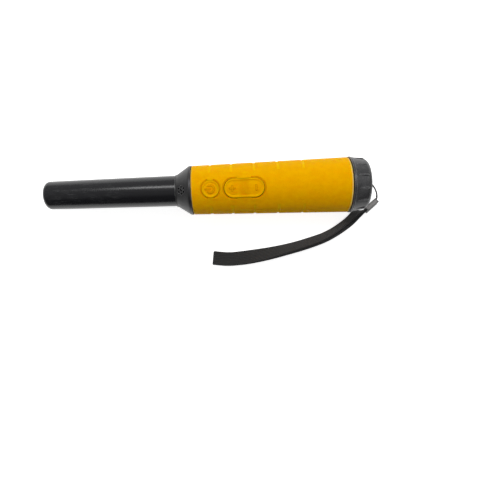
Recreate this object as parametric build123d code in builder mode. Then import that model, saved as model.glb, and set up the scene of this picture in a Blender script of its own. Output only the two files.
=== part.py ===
"""Hand-held metal-detecting pinpointer, lying on its grip with the keys up.

X runs from the probe tip (-X) to the screw cap (+X), Z is up and the floor is at zero.
Stations are distances from the probe tip along the axis, and heights are above the axis. Millimetres.
"""

import os
from math import atan2, cos, hypot, pi, radians, sin, sqrt, tan

from build123d import *

os.makedirs("parts", exist_ok=True)

# Battery, a standard 9 V block, and the bay around it
BATTERY_WIDTH = 26.0
BATTERY_THICKNESS = 17.0
BATTERY_LENGTH = 46.0
BATTERY_ROUNDING = 2.0
BATTERY_CLEARANCE = 0.3
TERMINAL_HEIGHT = 2.6
TERMINAL_SPACING = 12.7
STUD_RADIUS = 2.8
SOCKET_WALL = 1.2

# Threaded neck, seal and cap, from the inside out
NECK_WALL = 1.5
NECK_END_GAP = 0.6
THREAD_DEPTH = 0.8
THREAD_PITCH = 3.0
THREAD_TURNS = 1.5
CAP_THREAD_TURNS = 1.2
THREAD_ROOT_WIDTH = 1.2
THREAD_CREST_WIDTH = 0.7
THREAD_CLEARANCE = 0.2
SEAL_SECTION = 1.5
SEAL_GAP = 0.15
CAP_WALL = 1.62
CAP_LENGTH = 15.0
CAP_GAP = 0.4
CAP_END_WALL = 6.0
CAP_ROUNDING = 4.2
KNOB_TAPER = 1.6
FLANGE_STEP = 0.35
FLANGE_WIDTH = 2.0
FLANGE_CHAMFER = 0.3
FINGER_RIB_COUNT = 13
FINGER_RIB_HEIGHT = 0.85
FINGER_RIB_CREST_WIDTH = 0.5
FINGER_RIB_SLOPE = 48.0
FINGER_RIB_RISE = 0.15
FINGER_RIB_END_ANGLE = 30.0
FINGER_RIB_SETBACK = 2.2
FINGER_RIB_PHASE = 9.5
EYE_RADIUS = 5.6
BAR_RADIUS = 1.3
BAR_SINK = 0.6

# Rubber grip and the rigid tube under it
GRIP_LENGTH = 121.6
GRIP_TAPER = 2.6
GRIP_EDGE_ROUNDING = 1.0
FLANGE_PROUD = 0.4
SLEEVE_THICKNESS = 2.1
SLEEVE_GAP = 0.3
TUBE_WALL = 2.0
GROOVE_COUNT = 5
GROOVE_FIRST = 14.3
GROOVE_PITCH = 16.3
GROOVE_PITCH_GROWTH = 1.0
GROOVE_WIDTH = 2.2
GROOVE_DEPTH = 0.4
GROOVE_START_ANGLE = 40.0

# Probe and cone
PROBE_LENGTH = 100.6
PROBE_TIP_RADIUS = 10.8
PROBE_ROOT_RADIUS = 11.95
PROBE_WALL = 2.3
TIP_WALL = 2.5
TIP_ROUNDING = 4.0
SPIGOT_WALL = 1.5
SPIGOT_LENGTH = 12.0
CONE_LENGTH = 10.7
CONE_COLLAR = 0.9
CONE_COLLAR_ROUNDING = 1.5
CONE_LIP_ROUNDING = 2.0
CONE_LIP = 1.7
CONE_STEP = 0.5
CONE_PROUD = 0.1
CONE_TAIL_LENGTH = 5.0
CONE_TAIL_WALL = 2.0
GLUE_GAP = 0.05

# Sounder and lamp in the cone
SOUNDER_FROM_PROBE = 5.2
SOUNDER_RADIUS = 3.6
SOUNDER_THICKNESS = 1.5
SOUNDER_SKIN = 1.2
MEMBRANE_THICKNESS = 0.2
SOUNDER_GAP = 0.1
SOUND_HOLE_RADIUS = 0.95
SOUND_HOLE_CIRCLE = 2.6
SOUND_HOLE_COUNT = 6
LAMP_RADIUS = 1.8
LAMP_OFFSET = 14.2
LENS_LENGTH = 9.0
LED_LENGTH = 3.0
LAMP_GAP = 0.1

# Keys
POWER_FROM_GRIP = 14.6
POWER_RADIUS = 6.45
POWER_TRAVEL = 0.8
ROCKER_FROM_GRIP = 39.9
ROCKER_LENGTH = 30.0
ROCKER_WIDTH = 14.2
ROCKER_ANGLE = 2.5
ROCKER_POST_OFFSET = 9.0
ROCKER_PIVOT_HEIGHT = 13.6
ROCKER_DEPTH = 1.4
TRUNNION_RADIUS = 1.1
TRUNNION_REACH = 1.2
SADDLE_DEPTH = 0.55
SADDLE_LENGTH = 10.0
KEY_GAP = 0.2
ROCKER_END_GAP = 0.45
ROCKER_SIDE_GAP = 0.2
KEY_FLANGE = 1.0
KEY_FLANGE_REACH = 0.9
KEY_FLOAT = 0.15
POST_RADIUS = 2.1
POST_GAP = 0.1
RIM_WIDTH = 0.4
RIM_HEIGHT = 0.8
RIM_ROUNDING = 0.3
DISH_ROUNDING = 1.6
KEY_TOP_ANGLE = 45.0
FACE_SINK = 0.65
MOAT_WIDTH = 1.1
MOAT_DEPTH = 0.65
MOAT_ROUNDING = 0.5
POWER_BRIDGE = 4.2
ROCKER_BRIDGE = 10.6
ICON_HEIGHT = 0.55
ICON_STROKE = 1.0
POWER_ICON_RADIUS = 2.75
POWER_ICON_GAP_ANGLE = 35.0
POWER_ICON_BAR = 4.2
ROCKER_ICON_SIZE = 4.6

# Electronics
BOARD_TOP = 6.0
BOARD_THICKNESS = 1.6
BOARD_SIDE_GAP = 0.8
BOARD_END_GAP = 0.6
SWITCH_SIZE = 6.0
SWITCH_HEIGHT = 3.5
STEM_HEIGHT = 1.0
STEM_RADIUS = 1.7
RAIL_WIDTH = 3.2
RAIL_INSET = 0.4
RAIL_BOTTOM = -7.5
CROSSBAR_LENGTH = 2.0
CROSSBAR_TOP = -3.0
BULKHEAD_THICKNESS = 3.0
BULKHEAD_GAP = 0.15
BOSS_RADIUS = 2.4
BOSS_OFFSET = 12.6
BOSS_LENGTH = 10.0
SCREW_RADIUS = 1.0
SCREW_HEAD_RADIUS = 1.9
SCREW_HEAD_HEIGHT = 1.3
SCREW_LENGTH = 6.0
SCREW_GAP = 0.05
BOARD_SCREW_INSET = 4.0
BOARD_CORNER = 1.5
SNAP_PLATE_THICKNESS = 1.2
SNAP_PLATE_MARGIN = 2.0
CONTACT_GAP = 0.1
LEAD_RADIUS = 0.7
LEAD_HOLE_GAP = 0.2
LEAD_SPREAD = 2.5
LEAD_BEND = 3.0
LEAD_RUN = 8.0
PAD_THICKNESS = 2.4
PAD_GAP = 0.15
PAD_SIDE_GAP = 0.6
CHIP_SIZE = 10.0
CHIP_HEIGHT = 1.4
CHIP_GAP = 3.5
CAN_RADIUS = 2.5
CAN_HEIGHT = 4.0
CAN_OFFSET = 6.5
SMALL_PART_LENGTH = 5.0
SMALL_PART_WIDTH = 3.2
SMALL_PART_HEIGHT = 1.6
SMALL_PART_OFFSET = 5.5
HEADER_LENGTH = 6.0
HEADER_WIDTH = 8.0
HEADER_DEPTH = 6.0

# Vibration motor
MOTOR_FROM_BOARD = 19.0
MOTOR_RADIUS = 3.5
MOTOR_LENGTH = 14.0
MOTOR_HEIGHT = -5.0
MOTOR_BED_DEPTH = 5.0
MOTOR_BED_LAP = 0.4
SHAFT_RADIUS = 0.6
SHAFT_DEPTH = 3.0
SHAFT_FIT = 0.03
WEIGHT_RADIUS = 4.4
WEIGHT_LENGTH = 4.0
WEIGHT_HUB_RADIUS = 1.5
WEIGHT_GAP = 0.8
CLIP_THICKNESS = 0.8
CLIP_LENGTH = 6.0
CLIP_FOOT = 4.2
CLIP_GAP = 0.05
CLIP_SCREW_LENGTH = 4.0

# Search coil
COIL_LENGTH = 74.0
ROD_RADIUS = 4.0
FORMER_WALL = 1.2
COIL_FLANGE_THICKNESS = 1.6
COIL_SIDE_GAP = 0.2
COIL_END_GAP = 0.3
COIL_FIT = 0.05
WINDING_DEPTH = 2.2
CABLE_RADIUS = 1.4

# Lanyard
CORD_DIAMETER = 1.2
CORD_CLEARANCE = 0.2
CORD_SPREAD = 2.0
CORD_INSET = 1.0
CORD_ARC_SHARE = 0.45
CORD_LEAD = 1.2
WEB_WIDTH = 11.7
WEB_THICKNESS = 1.2
CRIMP_LENGTH = 11.4
CRIMP_MARGIN = 0.5
CRIMP_WALL = 0.85
CRIMP_ROUNDING = 0.5
FLOOR_GAP = 0.1
FOLD_STEPS = 4

# Webbing route: x and y of the upper layer's outer edge, its tilt from flat in degrees,
# the spacing of the two layers and how much flatter the lower one leans
STRAP_ROUTE = [
    (128.1, -19.75, 106, 1.25, 0),
    (123.2, -23.9, 68, 1.7, 3),
    (117.6, -28.4, 75, 2.0, 6),
    (112.2, -32.4, 76, 2.1, 7),
    (103.8, -38.6, 73, 2.1, 4),
    (94.6, -44.0, 67, 2.0, 2.5),
    (84.6, -47.7, 62, 2.0, 2),
    (73.7, -50.9, 61, 2.0, 2),
    (62.0, -54.0, 57, 2.0, 1),
    (50.3, -57.5, 46, 1.9, 0),
    (37.7, -60.7, 31, 1.8, 0),
    (25.1, -63.3, 14, 1.7, 0),
    (12.4, -64.3, 4, 1.7, 0),
    (0.4, -62.7, 2, 1.6, 0),
]

# Cord route, from the crimp up to the cap's bar and back again, between its two ends
CORD_UPPER = [
    (138.2, -10.9, 9.1),
    (137.5, -9.25, 11.1),
    (136.3, -7.0, 13.8),
    (133.65, -3.8, 17.9),
    (130.1, -0.4, 21.8),
    (126.3, 0.35, 23.9),
]
CORD_LOWER = [
    (126.3, 0.3, 19.5),
    (130.8, -0.1, 18.3),
    (134.4, -3.7, 15.5),
    (136.8, -6.8, 12.0),
    (137.9, -8.9, 9.6),
    (138.6, -10.6, 7.0),
    (139.2, -11.9, 5.3),
]

# Radii that follow from the battery outwards
BAY_RADIUS = hypot(BATTERY_WIDTH, BATTERY_THICKNESS) / 2 + BATTERY_CLEARANCE
NECK_RADIUS = BAY_RADIUS + NECK_WALL
THREAD_CREST_RADIUS = NECK_RADIUS + THREAD_DEPTH
CAP_BORE = THREAD_CREST_RADIUS + THREAD_CLEARANCE
SEAL_BORE = NECK_RADIUS + SEAL_SECTION + SEAL_GAP
KNOB_REAR_RADIUS = CAP_BORE + CAP_WALL
KNOB_FRONT_RADIUS = KNOB_REAR_RADIUS + KNOB_TAPER
FLANGE_RADIUS = KNOB_FRONT_RADIUS + FLANGE_STEP
GRIP_REAR_RADIUS = FLANGE_RADIUS - FLANGE_PROUD
GRIP_FRONT_RADIUS = GRIP_REAR_RADIUS - GRIP_TAPER
TUBE_BORE = GRIP_FRONT_RADIUS - SLEEVE_THICKNESS - TUBE_WALL
CONE_FRONT_RADIUS = PROBE_ROOT_RADIUS + CONE_STEP
CONE_REAR_RADIUS = GRIP_FRONT_RADIUS + CONE_PROUD
PROBE_BORE = PROBE_TIP_RADIUS - PROBE_WALL
SPIGOT_RADIUS = PROBE_BORE + SPIGOT_WALL

# Stations that follow from the tip backwards
SOUNDER_STATION = PROBE_LENGTH + SOUNDER_FROM_PROBE
TUBE_START = PROBE_LENGTH + CONE_LENGTH + CONE_LIP
GRIP_START = TUBE_START + SLEEVE_GAP
SHOULDER = GRIP_START + GRIP_LENGTH
CAP_START = SHOULDER + CAP_GAP
LENGTH = CAP_START + CAP_LENGTH
CAP_FLOOR = LENGTH - CAP_END_WALL
NECK_END = CAP_FLOOR - NECK_END_GAP
PAD_START = CAP_FLOOR - PAD_GAP - PAD_THICKNESS
BATTERY_START = PAD_START - PAD_GAP - BATTERY_LENGTH
SNAP_FACE = BATTERY_START - TERMINAL_HEIGHT - CONTACT_GAP
BULKHEAD_REAR = SNAP_FACE - SNAP_PLATE_THICKNESS
BAY_START = BULKHEAD_REAR - BULKHEAD_THICKNESS
BOARD_START = TUBE_START + CONE_TAIL_LENGTH + BOARD_END_GAP
BOARD_END = BAY_START - BOARD_END_GAP
POWER_STATION = GRIP_START + POWER_FROM_GRIP
ROCKER_STATION = GRIP_START + ROCKER_FROM_GRIP
MOTOR_START = BOARD_START + MOTOR_FROM_BOARD
COIL_START = TIP_WALL + COIL_END_GAP
COIL_END = COIL_START + COIL_LENGTH

# Axis of revolution and the planes that the sketches stand on
AXIS_Z = FLANGE_RADIUS
SPIN = Axis((0, 0, AXIS_Z), (1, 0, 0))


def at(station):
    """X of a station."""
    return station - LENGTH / 2


def radial_plane(angle=0):
    """Plane through the axis, angle from up towards +Y; local x is X, local y is the radius."""
    side = radians(angle)
    return Plane(origin=(0, 0, AXIS_Z), x_dir=(1, 0, 0), z_dir=(0, -cos(side), sin(side)))


def across(station):
    """Plane square to the axis; local x is Y, local y is up."""
    return Plane(origin=(at(station), 0, AXIS_Z), x_dir=(0, 1, 0), z_dir=(1, 0, 0))


def level(height):
    """Horizontal plane at a height above the axis."""
    return Plane.XY.offset(AXIS_Z + height)


def grip_radius(station):
    """Outer radius of the rubber grip."""
    return GRIP_FRONT_RADIUS + GRIP_TAPER * (station - GRIP_START) / GRIP_LENGTH


def tube_radius(station):
    """Outer radius of the rigid tube."""
    return grip_radius(station) - SLEEVE_THICKNESS


def turned_profile(*points):
    """Face from station and radius pairs, for a revolve."""
    with BuildLine() as outline:
        Polyline([(at(station), radius) for station, radius in points], close=True)
    make_face(outline.edges())


def grip_envelope(offset):
    """Solid inside the grip's outer surface moved out by an offset."""
    with BuildPart() as envelope:
        with BuildSketch(radial_plane()):
            turned_profile(
                (TUBE_START, 0),
                (TUBE_START, grip_radius(TUBE_START) + offset),
                (CAP_START, grip_radius(CAP_START) + offset),
                (CAP_START, 0),
            )
        revolve(axis=SPIN)
    return envelope.part


def thread_ridge(start, radius, depth, turns):
    """Helical ridge on a cylinder; a negative depth points inwards."""
    sink = THREAD_CLEARANCE if depth > 0 else -THREAD_CLEARANCE
    centre = Vector(at(start), 0, AXIS_Z)
    with BuildPart() as ridge:
        with BuildLine() as path:
            Helix(THREAD_PITCH, turns * THREAD_PITCH, radius, center=centre, direction=(1, 0, 0))
        foot = path.line @ 0
        with BuildSketch(Plane(origin=foot, x_dir=foot - centre, z_dir=path.line % 0)):
            with BuildLine():
                Polyline(
                    (-sink, -THREAD_ROOT_WIDTH / 2),
                    (depth, -THREAD_CREST_WIDTH / 2),
                    (depth, THREAD_CREST_WIDTH / 2),
                    (-sink, THREAD_ROOT_WIDTH / 2),
                    close=True,
                )
            make_face()
        sweep(path=path.line, is_frenet=True)
    return ridge.part


def facing_rim(piece, way):
    """Edges round the faces that look up, way 1, or down, way -1."""
    facing = piece.faces().filter_by(lambda face: way * face.normal_at().Z > cos(radians(KEY_TOP_ANGLE)))
    edges = [edge for face in facing for edge in face.edges()]
    return [edge for edge in edges if sum(edge.is_same(other) for other in edges) == 1]


def save(piece, name):
    """Label a finished piece and write its file."""
    piece.part.label = name
    export_step(piece.part, f"parts/{name}.step")


# Probe shell: closed tapered tube with a spigot for the cone
with BuildPart() as probe_shell:
    with BuildSketch(radial_plane()):
        turned_profile(
            (0, 0),
            (0, PROBE_TIP_RADIUS),
            (PROBE_LENGTH, PROBE_ROOT_RADIUS),
            (PROBE_LENGTH, SPIGOT_RADIUS),
            (PROBE_LENGTH + SPIGOT_LENGTH, SPIGOT_RADIUS),
            (PROBE_LENGTH + SPIGOT_LENGTH, PROBE_BORE),
            (TIP_WALL, PROBE_BORE),
            (TIP_WALL, 0),
        )
    revolve(axis=SPIN)
    fillet(probe_shell.edges().filter_by(GeomType.CIRCLE).group_by(Axis.X)[0], TIP_ROUNDING)
save(probe_shell, "probe_shell")

# Ferrite rod in its former
with BuildPart() as ferrite_rod:
    with BuildSketch(across(COIL_START)):
        Circle(ROD_RADIUS)
    extrude(amount=COIL_LENGTH)
save(ferrite_rod, "ferrite_rod")

# Coil former: a tube with three flanges that centre it in the probe
FORMER_BORE = ROD_RADIUS + COIL_FIT
FORMER_RADIUS = FORMER_BORE + FORMER_WALL
COIL_FLANGE_STARTS = [
    COIL_START,
    (COIL_START + COIL_END - COIL_FLANGE_THICKNESS) / 2,
    COIL_END - COIL_FLANGE_THICKNESS,
]
with BuildPart() as coil_former:
    with BuildSketch(across(COIL_START)):
        Circle(FORMER_RADIUS)
    extrude(amount=COIL_LENGTH)
    for flange_start in COIL_FLANGE_STARTS:
        with BuildSketch(across(flange_start)):
            Circle(PROBE_BORE - COIL_SIDE_GAP)
        extrude(amount=COIL_FLANGE_THICKNESS)
    with BuildSketch(across(COIL_START)):
        Circle(FORMER_BORE)
    extrude(amount=COIL_LENGTH, mode=Mode.SUBTRACT)
save(coil_former, "coil_former")

# Drive and sense windings, one in each half of the former
for winding_name, flange_start in (("drive_winding", 0), ("sense_winding", 1)):
    winding_start = COIL_FLANGE_STARTS[flange_start] + COIL_FLANGE_THICKNESS + COIL_FIT
    winding_length = COIL_FLANGE_STARTS[flange_start + 1] - COIL_FIT - winding_start
    with BuildPart() as winding:
        with BuildSketch(across(winding_start)):
            Circle(FORMER_RADIUS + COIL_FIT + WINDING_DEPTH)
            Circle(FORMER_RADIUS + COIL_FIT, mode=Mode.SUBTRACT)
        extrude(amount=winding_length)
    save(winding, winding_name)

# Screened cable from the coil to the board's header
HEADER_START = BOARD_START + BOARD_END_GAP
with BuildPart() as coil_cable:
    with BuildSketch(across(COIL_END)):
        Circle(CABLE_RADIUS)
    extrude(amount=HEADER_START - COIL_END)
save(coil_cable, "coil_cable")

# Cone between probe and grip: a short collar, then a straight slope to the lip
COLLAR_END = PROBE_LENGTH + CONE_COLLAR
SLOPE_END = PROBE_LENGTH + CONE_LENGTH
CONE_SLOPE = atan2(CONE_REAR_RADIUS - CONE_FRONT_RADIUS, SLOPE_END - COLLAR_END)


def cone_radius(station):
    """Outer radius of the cone's slope."""
    return CONE_FRONT_RADIUS + tan(CONE_SLOPE) * (station - COLLAR_END)


def cone_profile(*inner):
    """Face under the cone's rounded outline, closed through inner station and radius pairs."""
    with BuildLine() as outline:
        surface = FilletPolyline(
            (at(PROBE_LENGTH), CONE_FRONT_RADIUS),
            (at(COLLAR_END), CONE_FRONT_RADIUS),
            (at(SLOPE_END), CONE_REAR_RADIUS),
            (at(TUBE_START), CONE_REAR_RADIUS),
            radius=[CONE_COLLAR_ROUNDING, CONE_LIP_ROUNDING],
        )
        Polyline(surface @ 1, *[(at(station), radius) for station, radius in inner], surface @ 0)
    make_face(outline.edges())


def sounder_plane(depth):
    """Plane parallel to the cone's top surface at a depth under it, facing outwards."""
    normal = Vector(-sin(CONE_SLOPE), 0, cos(CONE_SLOPE))
    surface = Vector(at(SOUNDER_STATION), 0, AXIS_Z + cone_radius(SOUNDER_STATION))
    return Plane(origin=surface - normal * depth, x_dir=(0, 1, 0), z_dir=normal)


SOCKET_RADIUS = SPIGOT_RADIUS + GLUE_GAP
TAIL_RADIUS = TUBE_BORE - GLUE_GAP
TAIL_BORE = TAIL_RADIUS - CONE_TAIL_WALL
LENS_REAR = PROBE_LENGTH + LENS_LENGTH
LED_REAR = LENS_REAR + LAMP_GAP + LED_LENGTH
with BuildPart() as nose_cone:
    with BuildSketch(radial_plane()):
        cone_profile(
            (TUBE_START, TAIL_RADIUS),
            (TUBE_START + CONE_TAIL_LENGTH, TAIL_RADIUS),
            (TUBE_START + CONE_TAIL_LENGTH, TAIL_BORE),
            (PROBE_LENGTH + SPIGOT_LENGTH, TAIL_BORE),
            (PROBE_LENGTH + SPIGOT_LENGTH, SOCKET_RADIUS),
            (PROBE_LENGTH, SOCKET_RADIUS),
        )
    revolve(axis=SPIN)
    # sound holes and the sounder's pocket behind them
    with BuildSketch(sounder_plane(0)):
        Circle(SOUND_HOLE_RADIUS)
        with PolarLocations(SOUND_HOLE_CIRCLE, SOUND_HOLE_COUNT):
            Circle(SOUND_HOLE_RADIUS)
    extrude(amount=SOUNDER_SKIN, both=True, mode=Mode.SUBTRACT)
    with BuildSketch(sounder_plane(SOUNDER_SKIN)):
        Circle(SOUNDER_RADIUS + SOUNDER_GAP)
    extrude(amount=-(cone_radius(SOUNDER_STATION) - SOCKET_RADIUS), mode=Mode.SUBTRACT)
    # lamp bore on the underside, parallel to the axis
    with BuildSketch(across(PROBE_LENGTH)):
        with Locations((0, -LAMP_OFFSET)):
            Circle(LAMP_RADIUS + LAMP_GAP)
    extrude(amount=LED_REAR - PROBE_LENGTH, mode=Mode.SUBTRACT)
save(nose_cone, "nose_cone")

# Waterproof membrane and sounder under the holes
with BuildPart() as sounder_membrane:
    with BuildSketch(sounder_plane(SOUNDER_SKIN + SOUNDER_GAP / 2)):
        Circle(SOUNDER_RADIUS)
    extrude(amount=-MEMBRANE_THICKNESS)
save(sounder_membrane, "sounder_membrane")

SOUNDER_TOP = SOUNDER_SKIN + SOUNDER_GAP + MEMBRANE_THICKNESS
with BuildPart() as sounder:
    with BuildSketch(sounder_plane(SOUNDER_TOP)):
        Circle(SOUNDER_RADIUS)
    extrude(amount=-SOUNDER_THICKNESS)
save(sounder, "sounder")

# Lamp lens, cut off flush with the cone, and the lamp behind it
with BuildPart() as lamp_lens:
    with BuildSketch(across(PROBE_LENGTH)):
        with Locations((0, -LAMP_OFFSET)):
            Circle(LAMP_RADIUS)
    extrude(amount=LENS_LENGTH)
    with BuildSketch(radial_plane()):
        cone_profile((TUBE_START, 0), (PROBE_LENGTH, 0))
    revolve(axis=SPIN, mode=Mode.INTERSECT)
save(lamp_lens, "lamp_lens")

with BuildPart() as lamp_led:
    with BuildSketch(across(LENS_REAR + LAMP_GAP / 2)):
        with Locations((0, -LAMP_OFFSET)):
            Circle(LAMP_RADIUS)
    extrude(amount=LED_LENGTH)
save(lamp_led, "lamp_led")

# Key heights that the tube, sleeve and keys share
SWITCH_TOP = BOARD_TOP + SWITCH_HEIGHT + STEM_HEIGHT
POWER_FLANGE_RADIUS = POWER_RADIUS + KEY_FLANGE_REACH
POWER_FLANGE_TOP = sqrt(tube_radius(POWER_STATION) ** 2 - POWER_FLANGE_RADIUS**2) - KEY_FLOAT
POWER_FLANGE_BOTTOM = POWER_FLANGE_TOP - KEY_FLANGE
ROCKER_BOTTOM = ROCKER_PIVOT_HEIGHT - ROCKER_DEPTH
ROCKER_OPENING_LENGTH = ROCKER_LENGTH + 2 * ROCKER_END_GAP
ROCKER_OPENING_WIDTH = ROCKER_WIDTH + 2 * ROCKER_SIDE_GAP
TRUNNION_END = ROCKER_WIDTH / 2 + TRUNNION_REACH
KEY_REACH = GRIP_REAR_RADIUS + SLEEVE_THICKNESS

# Rigid tube under the rubber, with key windows, screw bosses and the threaded neck
THREAD_START = NECK_END - THREAD_ROOT_WIDTH - THREAD_TURNS * THREAD_PITCH
male_thread = thread_ridge(THREAD_START, NECK_RADIUS, THREAD_DEPTH, THREAD_TURNS)
with BuildPart() as handle_tube:
    with BuildSketch(radial_plane()):
        turned_profile(
            (TUBE_START, TUBE_BORE),
            (TUBE_START, tube_radius(TUBE_START)),
            (SHOULDER, tube_radius(SHOULDER)),
            (SHOULDER, NECK_RADIUS),
            (NECK_END, NECK_RADIUS),
            (NECK_END, BAY_RADIUS),
            (BAY_START, BAY_RADIUS),
            (BAY_START, TUBE_BORE),
        )
    revolve(axis=SPIN)
    add(male_thread)
    # window under each key, with notches for the rocker's trunnions
    with BuildSketch(level(0)):
        with Locations((at(POWER_STATION), 0)):
            Circle(POWER_FLANGE_RADIUS + KEY_GAP)
        with Locations((at(ROCKER_STATION), 0)):
            SlotOverall(ROCKER_OPENING_LENGTH, ROCKER_OPENING_WIDTH)
    extrude(amount=KEY_REACH, mode=Mode.SUBTRACT)
    with BuildSketch(level(ROCKER_PIVOT_HEIGHT - TRUNNION_RADIUS - POST_GAP)):
        with Locations((at(ROCKER_STATION), 0)):
            Rectangle(2 * (TRUNNION_RADIUS + POST_GAP), 2 * (TRUNNION_END + POST_GAP))
    extrude(amount=KEY_REACH, mode=Mode.SUBTRACT)
    # bosses above and below for the bulkhead's screws
    with BuildSketch(across(BAY_START)):
        with Locations((0, BOSS_OFFSET), (0, -BOSS_OFFSET)):
            Circle(BOSS_RADIUS)
    extrude(amount=-BOSS_LENGTH)
    with BuildSketch(across(BAY_START)):
        with Locations((0, BOSS_OFFSET), (0, -BOSS_OFFSET)):
            Circle(SCREW_RADIUS + SCREW_GAP)
    extrude(amount=-BOSS_LENGTH, mode=Mode.SUBTRACT)
save(handle_tube, "handle_tube")

# Moats round the keys: what lies above a sunk copy of the grip's surface
moat_floor = grip_envelope(-MOAT_DEPTH)
with BuildPart() as moats:
    with BuildSketch(level(0)):
        with Locations((at(POWER_STATION), 0)):
            Circle(POWER_RADIUS + KEY_GAP + MOAT_WIDTH)
            Rectangle(POWER_BRIDGE, 2 * KEY_REACH, mode=Mode.SUBTRACT)
        with Locations((at(ROCKER_STATION), 0)):
            SlotOverall(ROCKER_OPENING_LENGTH + 2 * MOAT_WIDTH, ROCKER_OPENING_WIDTH + 2 * MOAT_WIDTH)
            Rectangle(ROCKER_BRIDGE, 2 * KEY_REACH, mode=Mode.SUBTRACT)
    extrude(amount=KEY_REACH)
    add(moat_floor, mode=Mode.SUBTRACT)
    fillet(facing_rim(moats, -1), MOAT_ROUNDING)

# Rubber sleeve over the tube
with BuildPart() as grip_sleeve:
    with BuildSketch(radial_plane()):
        turned_profile(
            (GRIP_START, tube_radius(GRIP_START)),
            (GRIP_START, grip_radius(GRIP_START)),
            (SHOULDER, grip_radius(SHOULDER)),
            (SHOULDER, tube_radius(SHOULDER)),
        )
    revolve(axis=SPIN)
    rims = grip_sleeve.edges().filter_by(GeomType.CIRCLE).group_by(Axis.X)
    outer_rims = [rims[0].sort_by(SortBy.RADIUS)[-1], rims[-1].sort_by(SortBy.RADIUS)[-1]]
    fillet(outer_rims, GRIP_EDGE_ROUNDING)
    # short grooves across both sides, their spacing growing towards the cap
    groove_station = GRIP_START + GROOVE_FIRST
    for groove in range(GROOVE_COUNT):
        surface = grip_radius(groove_station)
        for start_angle in (180 - GROOVE_START_ANGLE, -GROOVE_START_ANGLE):
            with BuildSketch(radial_plane(start_angle)):
                turned_profile(
                    (groove_station - GROOVE_WIDTH / 2 - GROOVE_DEPTH / 2, surface + GROOVE_DEPTH),
                    (groove_station - GROOVE_WIDTH / 2 + GROOVE_DEPTH / 2, surface - GROOVE_DEPTH),
                    (groove_station + GROOVE_WIDTH / 2 - GROOVE_DEPTH / 2, surface - GROOVE_DEPTH),
                    (groove_station + GROOVE_WIDTH / 2 + GROOVE_DEPTH / 2, surface + GROOVE_DEPTH),
                )
            revolve(axis=SPIN, revolution_arc=180 - 2 * GROOVE_START_ANGLE, mode=Mode.SUBTRACT)
        groove_station += GROOVE_PITCH + groove * GROOVE_PITCH_GROWTH
    # openings for the keys and the moats round them
    with BuildSketch(level(0)):
        with Locations((at(POWER_STATION), 0)):
            Circle(POWER_RADIUS + KEY_GAP)
        with Locations((at(ROCKER_STATION), 0)):
            SlotOverall(ROCKER_OPENING_LENGTH, ROCKER_OPENING_WIDTH)
    extrude(amount=KEY_REACH, mode=Mode.SUBTRACT)
    add(moats.part, mode=Mode.SUBTRACT)
save(grip_sleeve, "grip_sleeve")

# Surfaces of the power key: rim, sunk face inside it, icon raised from the face
rim_surface = grip_envelope(RIM_HEIGHT - FACE_SINK)
face_surface = grip_envelope(-FACE_SINK)
icon_surface = grip_envelope(ICON_HEIGHT - FACE_SINK)


def rocker_envelope(offset):
    """Solid inside the rocker's saddle-shaped surface moved out by an offset."""
    saddle_front = ROCKER_STATION - SADDLE_LENGTH / 2
    saddle_rear = ROCKER_STATION + SADDLE_LENGTH / 2
    slope = (1, GRIP_TAPER / GRIP_LENGTH)
    front = (at(TUBE_START), grip_radius(TUBE_START) + offset)
    rear = (at(CAP_START), grip_radius(CAP_START) + offset)
    saddle = [
        (at(saddle_front), grip_radius(saddle_front) + offset),
        (at(ROCKER_STATION), grip_radius(ROCKER_STATION) + offset - SADDLE_DEPTH),
        (at(saddle_rear), grip_radius(saddle_rear) + offset),
    ]
    with BuildPart() as envelope:
        with BuildSketch(radial_plane()):
            with BuildLine():
                Polyline((at(TUBE_START), 0), front, saddle[0])
                Spline(saddle, tangents=[slope, slope])
                Polyline(saddle[-1], rear, (at(CAP_START), 0), (at(TUBE_START), 0))
            make_face()
        revolve(axis=SPIN)
    return envelope.part


# Dish of each key inside its rim: everything above the sunk face, rounded where face and wall meet
with BuildPart() as power_dish:
    with BuildSketch(level(POWER_FLANGE_TOP)):
        with Locations((at(POWER_STATION), 0)):
            Circle(POWER_RADIUS - RIM_WIDTH)
    extrude(amount=KEY_REACH)
    add(face_surface, mode=Mode.SUBTRACT)
    fillet(facing_rim(power_dish, -1), DISH_ROUNDING)

rocker_face = rocker_envelope(-FACE_SINK)
with BuildPart() as rocker_dish:
    with BuildSketch(level(ROCKER_PIVOT_HEIGHT)):
        with Locations((at(ROCKER_STATION), 0)):
            SlotOverall(ROCKER_LENGTH - 2 * RIM_WIDTH, ROCKER_WIDTH - 2 * RIM_WIDTH)
    extrude(amount=KEY_REACH)
    add(rocker_face, mode=Mode.SUBTRACT)
    fillet(facing_rim(rocker_dish, -1), DISH_ROUNDING)

# Power icon: an open ring with a bar that points to the tip
ICON_GAP_WIDTH = 2 * POWER_ICON_RADIUS * tan(radians(POWER_ICON_GAP_ANGLE))
TO_TIP = (Align.MAX, Align.CENTER)
with BuildPart() as power_icon:
    with BuildSketch(level(POWER_FLANGE_TOP)):
        with Locations((at(POWER_STATION), 0)):
            Circle(POWER_ICON_RADIUS + ICON_STROKE / 2)
            Circle(POWER_ICON_RADIUS - ICON_STROKE / 2, mode=Mode.SUBTRACT)
            Rectangle(2 * POWER_ICON_RADIUS, ICON_GAP_WIDTH, align=TO_TIP, mode=Mode.SUBTRACT)
            Rectangle(POWER_ICON_BAR, ICON_STROKE, align=TO_TIP)
    extrude(amount=KEY_REACH)
    add(icon_surface, mode=Mode.INTERSECT)

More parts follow.
